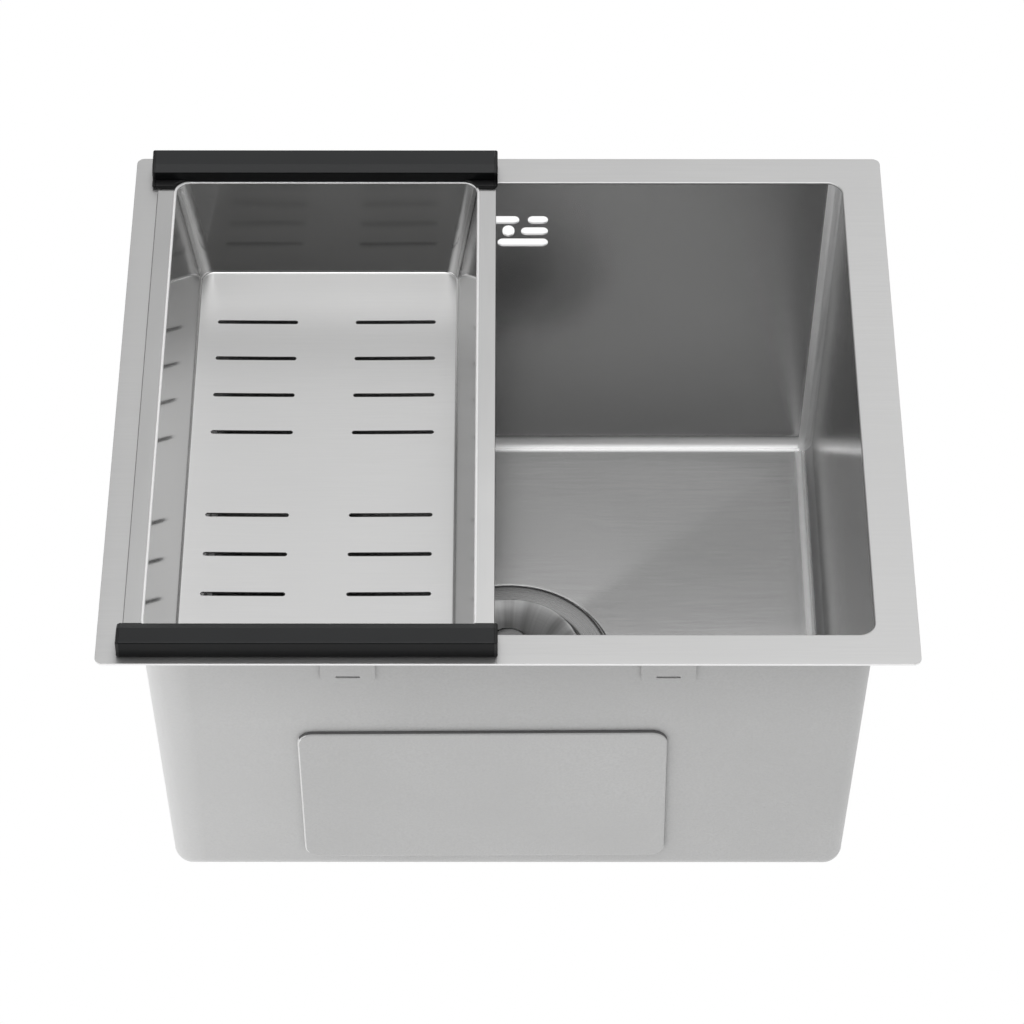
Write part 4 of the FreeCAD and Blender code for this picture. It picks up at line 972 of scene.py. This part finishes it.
def handle_outline():
    pts = [(H_IN, 2.8), (H_IN + 12.7, 2.8), (H_IN + 12.7, 2.2), (H_IN + H_D, 2.2), (H_IN + H_D, 14.6), (H_IN + 6.0, 13.5), (H_IN, 11.0)]
    radii = [0.25, 0.1, 0.15, 0.35, 1.0, 1.6, 1.0]
    return round_polygon(pts, radii, 7)


def plate_outline():
    pts = [(194.6, 2.85), (H_IN + 12.7, 2.85), (H_IN + 12.7, 2.2), (H_IN + H_D, 2.2), (H_IN + H_D, 14.6), (H_IN + 6.0, 13.5), (H_IN, 11.0),
           (H_IN, 4.75), (194.6, 4.75)]
    radii = [0.3, 0.1, 0.15, 0.35, 1.0, 1.6, 1.0, 0.2, 0.5]
    return round_polygon(pts, radii, 7)


# each handle sits a hair off centre on the tray: (left end, right end)
END_SHIFT = {1: (-2.2, -0.6), -1: (-0.9, 0.3)}


def make_handle(name, side, node):
    b = Build()
    dl, dr = END_SHIFT[side]
    extrude_x(b, handle_outline(), TRAY_X0 - 112.8 + 0.02 + dl, TRAY_X0 + 112.8 - 0.02 + dr, 0, 0.12, 2, side)
    ob = b.obj(name, [BLACK, BLACK_FACE_SHADE])
    fix_normals(ob)
    # upright faces take the darker black as painted shade
    for p in ob.data.polygons:
        if abs(p.normal.y) > 0.7:
            p.material_index = 1
    sharp_and_weight(ob, 50.0)
    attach(ob, "colander")
    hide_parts(node)
    return ob


def end_plate(b, outline, sx, side, ease=1.3, steps=6):
    """The closing plate: square against the handle, rounded over on its outer face."""
    pts = np.array(outline, float)
    nrm = outline_normals(pts)
    xa, xb = 112.82, 114.8
    seq = [(xa, 0.06), (xa + 0.06, 0.0)]
    for k in range(steps + 1):
        t = math.pi / 2 * k / steps
        seq.append((xb - ease * (1 - math.sin(t)), ease * (1 - math.cos(t)) * 0.9))
    rings = []
    off = END_SHIFT[side][0 if sx < 0 else 1]
    for x, sh in seq:
        p = pts - nrm * sh
        rings.append(b.ring([(TRAY_X0 + off + sx * x, side * y, z) for y, z in p]))
    for k in range(len(rings) - 1):
        b.bridge(rings[k], rings[k + 1], 0)
    b.face(list(reversed(rings[0])), 0)
    b.face(rings[-1], 0)


def make_cap(name, sx, side, node):
    b = Build()
    end_plate(b, plate_outline(), sx, side)
    # low foot that runs into a thin ear round the tray's corner
    ccx, ccy, r = 91.5, 190.6, 9.9
    a0 = math.asin((194.6 - ccy) / r)
    k = 14
    arc = []
    for i in range(k + 1):
        t = a0 + (math.pi / 2 - a0) * i / k
        arc.append((ccx + r * math.cos(t), ccy + r * math.sin(t)))
    arc = [p for p in arc if p[1] < H_IN - 0.1]
    poly = arc + [(arc[-1][0], H_IN - 0.02), (112.8, H_IN - 0.02), (112.8, 195.1), (112.3, 194.6)]
    poly = np.array(poly)
    mid = poly.mean(0)
    levels_ = [(2.86, 0.15), (3.0, 0.0), (4.35, 0.0), (4.62, 0.12), (4.75, 0.4)]
    nrm = outline_normals(poly)
    area = sum(poly[i - 1][0] * poly[i][1] - poly[i][0] * poly[i - 1][1] for i in range(len(poly)))
    if area < 0:
        nrm = -nrm
    rings = []
    for z, sh in levels_:
        p = poly - nrm * sh
        p[:, 1] = np.minimum(p[:, 1], H_IN - 0.02)
        rings.append(b.ring([(TRAY_X0 + END_SHIFT[side][0 if sx < 0 else 1] + sx * x, side * y, z) for x, y in p]))
    for i in range(len(rings) - 1):
        b.bridge(rings[i], rings[i + 1], 0)
    b.face(list(reversed(rings[0])), 0)
    b.face(rings[-1], 0)
    ob = b.obj(name, [CAP_BLACK])
    fix_normals(ob)
    sharp_and_weight(ob, 50.0)
    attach(ob, "colander")
    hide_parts(node)
    return ob


make_handle("handle_rear", 1, "rear_handle")
make_handle("handle_front", -1, "front_handle")
make_cap("end_cap_rear_right", 1, 1, "rear_right_end_cap")
make_cap("end_cap_rear_left", -1, 1, "rear_left_end_cap")
make_cap("end_cap_front_right", 1, -1, "front_right_end_cap")
make_cap("end_cap_front_left", -1, -1, "front_left_end_cap")


# ---------------------------------------------------------------------------
# Sound pads, each a stout sheet with a rolled edge
# ---------------------------------------------------------------------------
def tilt(open_, floor_):
    return math.atan2(open_ - floor_, FLOOR_Z + SHEET)


def pad_mesh(name, node, wide, high, matrix, thick=3.0, corner=10.0):
    b = Build()
    NC, SX, SY = 10, 16, 10
    hw, hh = wide / 2, high / 2
    rings = []
    for g, z in ((0.25, 0.0), (0.05, 0.12), (0.0, 0.45), (0.0, 1.7), (0.15, 2.2), (0.5, 2.65), (1.0, 2.9), (1.8, 3.0)):
        rings.append(b.ring(rr(hw - g, hh - g, hh - g, max(corner - g, 0.5), z * thick / 3.0, NC, SX, SY)))
    last = rings[-1]
    for k in range(1, 7):
        s = 1 - k / 7.0
        rings.append(b.ring(rr((hw - 1.8) * s, (hh - 1.8) * s, (hh - 1.8) * s, max(corner * s, 0.05),
                               thick, NC, SX, SY)))
    b.strip(rings, 0)
    b.face(rings[-1], 0)
    b.face(list(reversed(rings[0])), 0)
    ob = b.obj(name, [PAD_COAT, PAD_PAINTED_SHADE, PAD_PAINTED_LIGHT])
    fix_normals(ob)
    # painted shade on the upper and right-hand edge faces, painted light on the left-hand ones
    for pl in ob.data.polygons:
        nx, ny, nz = pl.normal
        if abs(nz) < 0.6 and (ny > 0.5 or nx > 0.5):
            pl.material_index = 1
        elif abs(nz) < 0.9 and nx < -0.35:
            pl.material_index = 2
    ob.data.transform(matrix)
    fix_normals(ob)
    sharp_and_weight(ob, 50.0)
    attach(ob, "sink")
    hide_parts(node)
    return ob


def rot_x(deg):
    return Matrix.Rotation(math.radians(deg), 4, "X")


def rot_z(deg):
    return Matrix.Rotation(math.radians(deg), 4, "Z")


def rot_y(deg):
    return Matrix.Rotation(math.radians(deg), 4, "Y")


side_t = math.degrees(tilt(OPEN_X, FLOOR_X))
front_t = math.degrees(tilt(OPEN_Y, FLOOR_F))
back_t = math.degrees(tilt(OPEN_Y, FLOOR_B))
PZ = -156.3


def outer_y(z, front):
    return levels(z, SHEET)[1 if front else 2]


def outer_x(z):
    return levels(z, SHEET)[0]


def at(x, y, z):
    return Matrix.Translation((x * MM, y * MM, z * MM))


pad_mesh("pad_front", "front_sound_pad", 231.2, 128.5, at(-15.6, -outer_y(PZ, True) - 0.03, PZ) @ rot_x(90 + front_t) @ rot_z(0.5))
pad_mesh("pad_rear", "rear_sound_pad", 230.0, 128.5, at(0, outer_y(PZ, False) + 0.03, PZ) @ rot_z(180) @ rot_x(90 + back_t))
pad_mesh("pad_left", "left_sound_pad", 210.0, 128.5, at(-outer_x(PZ) - 0.03, 0, PZ) @ rot_z(-90) @ rot_x(90 + side_t))
pad_mesh("pad_right", "right_sound_pad", 210.0, 128.5, at(outer_x(PZ) + 0.03, 0, PZ) @ rot_z(90) @ rot_x(90 + side_t))
run = (FLOOR_X - FOLD - 0.6) - DISH_X
fall_deg = math.degrees(math.atan2(DISH, run))
pzb = -(FLOOR_Z + SHEET) - 0.15 - DISH * ((FLOOR_X - FOLD - 0.6) - 141.0) / run
for sd, nm, nn in ((-1, "pad_base_left", "base_left_sound_pad"), (1, "pad_base_right", "base_right_sound_pad")):
    pad_mesh(nm, nn, 92.0, 290.0, at(sd * 141.0, 0, pzb - 0.05) @ rot_y(-sd * fall_deg) @ rot_x(180))


# ---------------------------------------------------------------------------
# Turned pieces of the waste
# ---------------------------------------------------------------------------
def curve_through(points, n=4):
    """Catmull-Rom through the points, to turn a coarse outline into a fine one."""
    out = []
    m = len(points)
    for i in range(m - 1):
        p0 = points[max(i - 1, 0)]
        p1, p2 = points[i], points[i + 1]
        p3 = points[min(i + 2, m - 1)]
        for k in range(n):
            t = k / n
            t2, t3 = t * t, t * t * t
            out.append(tuple(0.5 * (2 * p1[j] + (-p0[j] + p2[j]) * t + (2 * p0[j] - 5 * p1[j] + 4 * p2[j] - p3[j]) * t2
                                    + (-p0[j] + 3 * p1[j] - 3 * p2[j] + p3[j]) * t3) for j in (0, 1)))
    out.append(tuple(points[-1]))
    return out


def ring_holes(ob, items, material_slots):
    """Cuts round holes: items are (kind, radius of hole, place radius, z, count, depth)."""
    b = Build()
    for kind, hr, pr, z, count, depth in items:
        for i in range(count):
            a = 2 * math.pi * i / count
            if kind == "floor":
                cx_, cy_ = pr * math.cos(a), DRAIN_Y + pr * math.sin(a)
                lo = b.ring([(cx_ + hr * math.cos(t), cy_ + hr * math.sin(t), z - depth) for t in np.linspace(0, 2 * math.pi, 17)[:-1]])
                hi = b.ring([(cx_ + hr * math.cos(t), cy_ + hr * math.sin(t), z + depth) for t in np.linspace(0, 2 * math.pi, 17)[:-1]])
            else:
                u = np.array([math.cos(a), math.sin(a), 0.0])
                v = np.array([-math.sin(a), math.cos(a), 0.0])
                w = np.array([0.0, 0.0, 1.0])
                c0 = np.array([0.0, DRAIN_Y, z])
                ts = np.linspace(0, 2 * math.pi, 17)[:-1]
                lo = b.ring([c0 + u * (pr - depth) + (v * math.cos(t) + w * math.sin(t)) * hr for t in ts])
                hi = b.ring([c0 + u * (pr + depth) + (v * math.cos(t) + w * math.sin(t)) * hr for t in ts])
            b.bridge(lo, hi, 0)
            b.face(list(reversed(lo)), 0)
            b.face(hi, 0)
    cutter = b.obj("hole_cutter", material_slots)
    fix_normals(cutter)
    return cut(ob, cutter)


def flange_piece():
    R = 69.5
    pts = [(R, -240.0), (R, -238.9), (R - 0.15, -238.2), (R - 0.75, -237.45), (R - 1.7, -236.98), (R - 3.0, -236.86), (62.0, -237.05),
           (57.0, -237.3), (55.2, -237.45), (54.2, -237.7), (53.7, -238.0), (53.4, -238.4), (53.3, -238.9), (53.25, -239.2),
           (53.2, -239.4), (50.6, -239.6), (49.2, -240.6), (37.0, -254.0), (36.0, -256.0), (36.0, -282.0), (35.0, -283.0),
           (9.5, -283.0), (8.5, -286.5), (3.3, -286.5), (3.3, -287.7), (9.7, -287.7), (10.7, -284.2), (36.0, -284.2), (37.1, -283.0),
           (37.1, -256.3), (38.0, -254.6), (50.2, -241.8), (51.4, -240.9), (54.6, -240.7), (55.6, -239.6), (56.2, -239.35)]
    ob = lathe("waste_flange", pts, [TURNED, FUNNEL], [0] * 13 + [1] * 23, n=220)
    ring_holes(ob, [("floor", 5.2, 17.0, -283.6, 6, 1.6)], [TURNED, FUNNEL])
    sharp_and_weight(ob, 32.0)
    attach(ob, "sink")
    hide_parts("strainer_flange")


def basket_piece():
    ct = 0.7
    cz = -276.9
    top = [(4.15, cz), (30.0, cz), (31.0, cz + 0.4), (31.5, cz + 1.5), (31.5, -247.0), (31.7, -244.6), (32.4, -242.2), (33.6, -239.9),
           (35.6, -237.2), (38.2, -234.4), (41.0, -232.0), (43.8, -230.2), (46.2, -229.1), (47.6, -228.65), (48.3, -228.6), (48.8, -228.75),
           (49.1, -229.2), (49.6, -230.6), (51.0, -234.2), (52.2, -237.4), (52.4, -239.1)]
    low = [(51.5, -239.1), (51.3, -237.6), (50.1, -234.5), (48.7, -231.0), (48.0, -229.6), (46.6, -229.9), (44.2, -231.0),
           (41.5, -232.7), (38.8, -235.0), (36.2, -237.8), (34.3, -240.3), (33.1, -242.6), (32.4, -244.9), (32.2, -247.1),
           (32.2, cz + 1.0), (31.5, cz - 0.3), (30.6, cz - ct), (4.15, cz - ct)]
    ob = lathe("basket", top + low, [BASKET_STEEL], 0, n=200)
    items = [("wall", 2.2, 31.85, z, 18, 3.0) for z in (-260.5, -267.5, -273.0)]
    items += [("floor", 1.9, r, cz - 0.35, c, 1.6) for r, c in ((12.0, 8), (19.0, 14), (26.0, 20))]
    ring_holes(ob, items, [BASKET_STEEL])
    sharp_and_weight(ob, 35.0)
    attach(ob, "basket")
    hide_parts("basket_cup")


def knob_piece():
    K, kz = 14.6, -217.9
    pts = [(0.0, kz - 0.25), (5.0, kz - 0.22), (9.0, kz - 0.05), (K - 2.6, kz), (K - 1.6, kz - 0.15), (K - 0.8, kz - 0.6), (K - 0.25, kz - 1.3),
           (K, kz - 2.3), (K - 0.1, kz - 3.4), (K - 0.6, kz - 4.9), (K - 1.7, kz - 6.4), (K - 3.4, kz - 7.7), (10.5, kz - 8.6), (8.0, kz - 9.1),
           (4.0, kz - 9.1), (4.0, kz - 5.1), (0.0, kz - 5.1)]
    b = Build()
    n = 120
    rings = []
    for r, z in pts[1:-1]:
        rings.append(b.ring([(r * math.cos(2 * math.pi * i / n), DRAIN_Y + r * math.sin(2 * math.pi * i / n), z) for i in range(n)]))
    for k in range(len(rings) - 1):
        b.bridge(rings[k], rings[k + 1], 0)
    c0 = b.ring([(0.0, DRAIN_Y, pts[0][1])])[0]
    c1 = b.ring([(0.0, DRAIN_Y, pts[-1][1])])[0]
    for i in range(n):
        b.face((rings[0][i], rings[0][(i + 1) % n], c0), 0)
        b.face((rings[-1][(i + 1) % n], rings[-1][i], c1), 0)
    ob = b.obj("knob", [KNOB])
    fix_normals(ob)
    sharp_and_weight(ob, 40.0)
    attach(ob, "basket")
    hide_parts("basket_knob")


flange_piece()
basket_piece()
knob_piece()


for node, material in (
    ("clip_brackets", COAT), ("flange_gasket", RUBBER), ("body_gasket", RUBBER), ("strainer_body", WASTE_BLACK),
    ("screw_insert", BRASS), ("clamp_screw", TURNED), ("overflow_inlet_cap", WASTE_BLACK), ("inlet_cap_washer", RUBBER),
    ("basket_stem", KNOB), ("stopper_seal", RUBBER), ("seal_retainer", TURNED),
    ("handle_studs", EDGE_STEEL_SHADE), ("rear_glide_strip", STRIP), ("front_glide_strip", STRIP),
):
    ob = NODES[node]
    ob.data.materials.clear()
    ob.data.materials.append(material)
    ob.data.polygons.foreach_set("material_index", [0] * len(ob.data.polygons))


# ---------------------------------------------------------------------------
# Studio: an even surround with soft lobes of light, and a pale floor
# ---------------------------------------------------------------------------
world = bpy.data.worlds.new("studio")
SCENE.world = world
world.use_nodes = True
wt = world.node_tree
wt.nodes.clear()
w_out = wt.nodes.new("ShaderNodeOutputWorld")
bg_light = wt.nodes.new("ShaderNodeBackground")
bg_seen = wt.nodes.new("ShaderNodeBackground")
bg_seen.inputs[0].default_value = (1, 1, 1, 1)
bg_seen.inputs[1].default_value = 1.0
path = wt.nodes.new("ShaderNodeLightPath")
mixer = wt.nodes.new("ShaderNodeMixShader")
wt.links.new(path.outputs["Is Camera Ray"], mixer.inputs[0])
wt.links.new(bg_light.outputs[0], mixer.inputs[1])
wt.links.new(bg_seen.outputs[0], mixer.inputs[2])
wt.links.new(mixer.outputs[0], w_out.inputs[0])
co = wt.nodes.new("ShaderNodeTexCoord")

# Strength of the surround. Each arc runs from the front horizon (0), over the top
# (90), to the rear horizon (180), at one sideways direction from left (-1) to right (1).
ARCS = {
    -1.0: [(90, 0.8)],
    -0.7: [(20, 1.11), (60, 1.58), (100, 0.3), (140, 0.3)],
    -0.45: [(20, 0.3), (50, 1.2), (80, 0.3), (110, 0.3), (140, 0.3)],
    -0.25: [(0, 0), (40, 0), (55, 0.765), (75, 1.15), (110, 1.69), (137, 0), (180, 0.8)],
    -0.1: [(0, 0), (40, 0), (55, 0), (75, 3), (110, 1.19), (137, 0.567), (180, 0.8)],
    0.0: [(0, 0), (30, 0), (45, 0.677), (55, 0.83), (66, 3), (78, 3), (95, 1.43), (115, 1.74), (137, 0.723), (160, 0.8), (180, 0.8)],
    0.15: [(30, 0), (50, 0), (75, 2.24), (110, 2.7), (137, 0.907)],
    0.4: [(20, 0.3), (50, 0.3), (80, 0.3), (110, 0.3), (140, 0.771)],
    0.7: [(20, 1.41), (60, 0.3), (100, 0.3), (140, 0.3)],
    1.0: [(90, 0.8)],
}
ARC_MAX = 6.0


def wmath(op, a, b=None):
    n = wt.nodes.new("ShaderNodeMath")
    n.operation = op
    for i, x in enumerate((a, b)):
        if x is None:
            continue
        if isinstance(x, (int, float)):
            n.inputs[i].default_value = x
        else:
            wt.links.new(x, n.inputs[i])
    return n


def wramp(name, source, stops):
    r = wt.nodes.new("ShaderNodeValToRGB")
    r.name = name
    cr = r.color_ramp
    cr.interpolation = "LINEAR"
    while len(cr.elements) > 1:
        cr.elements.remove(cr.elements[-1])
    for i, (pos, val) in enumerate(stops):
        e = cr.elements[0] if i == 0 else cr.elements.new(pos)
        e.position = pos
        e.color = (val, val, val, 1.0)
    wt.links.new(source, r.inputs[0])
    return r.outputs[0]


wsep = wt.nodes.new("ShaderNodeSeparateXYZ")
wt.links.new(co.outputs["Generated"], wsep.inputs[0])
theta = wmath("ARCTAN2", wsep.outputs[2], wmath("MULTIPLY", wsep.outputs[1], -1.0).outputs[0])
turn = wmath("DIVIDE", theta.outputs[0], math.pi).outputs[0]
across = wmath("ADD", wmath("MULTIPLY", wsep.outputs[0], 0.5).outputs[0], 0.5).outputs[0]
XS = sorted(ARCS)
total = None
for i, xn in enumerate(XS):
    arc = wramp("arc_%d" % i, turn, [(d / 180.0, v / ARC_MAX) for d, v in ARCS[xn]])
    stops = []
    if i > 0:
        stops.append(((XS[i - 1] + 1) / 2, 0.0))
    stops.append(((xn + 1) / 2, 1.0))
    if i < len(XS) - 1:
        stops.append(((XS[i + 1] + 1) / 2, 0.0))
    hat = wramp("across_%d" % i, across, stops)
    part = wmath("MULTIPLY", arc, hat).outputs[0]
    total = part if total is None else wmath("ADD", total, part).outputs[0]
wt.links.new(wmath("MULTIPLY", total, ARC_MAX).outputs[0], bg_light.inputs[1])
bg_light.inputs[0].default_value = (1, 1, 1, 1)

fm = bpy.data.materials.new("studio_floor")
fm.use_nodes = True
fm.node_tree.nodes.clear()
fo = fm.node_tree.nodes.new("ShaderNodeOutputMaterial")
fe = fm.node_tree.nodes.new("ShaderNodeEmission")
fe.inputs[0].default_value = (1, 1, 1, 1)
fe.inputs[1].default_value = 1.2
fm.node_tree.links.new(fe.outputs[0], fo.inputs[0])
me = bpy.data.meshes.new("studio_floor")
me.from_pydata([(-3, -3, -0.36), (3, -3, -0.36), (3, 3, -0.36), (-3, 3, -0.36)], [], [(0, 1, 2, 3)])
me.materials.append(fm)
floor = bpy.data.objects.new("studio_floor", me)
COLL.objects.link(floor)
floor.visible_camera = False

# ---------------------------------------------------------------------------
# Camera
# ---------------------------------------------------------------------------
pitch, yaw, roll = 0.822983948, 0.000789578, 0.00105060
cp, sp, cyw, syw = math.cos(pitch), math.sin(pitch), math.cos(yaw), math.sin(yaw)
fwd = np.array([syw * cp, cyw * cp, -sp])
right = np.array([cyw, -syw, 0.0])
up = np.cross(right, fwd)
cr, sr = math.cos(roll), math.sin(roll)
right2 = right * cr + up * sr
up2 = -right * sr + up * cr
cam_data = bpy.data.cameras.new("camera")
cam = bpy.data.objects.new("camera", cam_data)
COLL.objects.link(cam)
rot = np.stack([right2, up2, -fwd], 1)
mat4 = Matrix.Identity(4)
for i in range(3):
    for j in range(3):
        mat4[i][j] = float(rot[i, j])
mat4.translation = Vector((0.0009117, -1.936953, 1.982241))
cam.matrix_world = mat4
cam_data.sensor_width = 36.0
cam_data.lens = 4335.06 * 36.0 / 1024.0
cam_data.clip_start = 0.05
cam_data.clip_end = 50.0
SCENE.camera = cam
SCENE.view_settings.view_transform = "Standard"
SCENE.view_settings.look = "None"
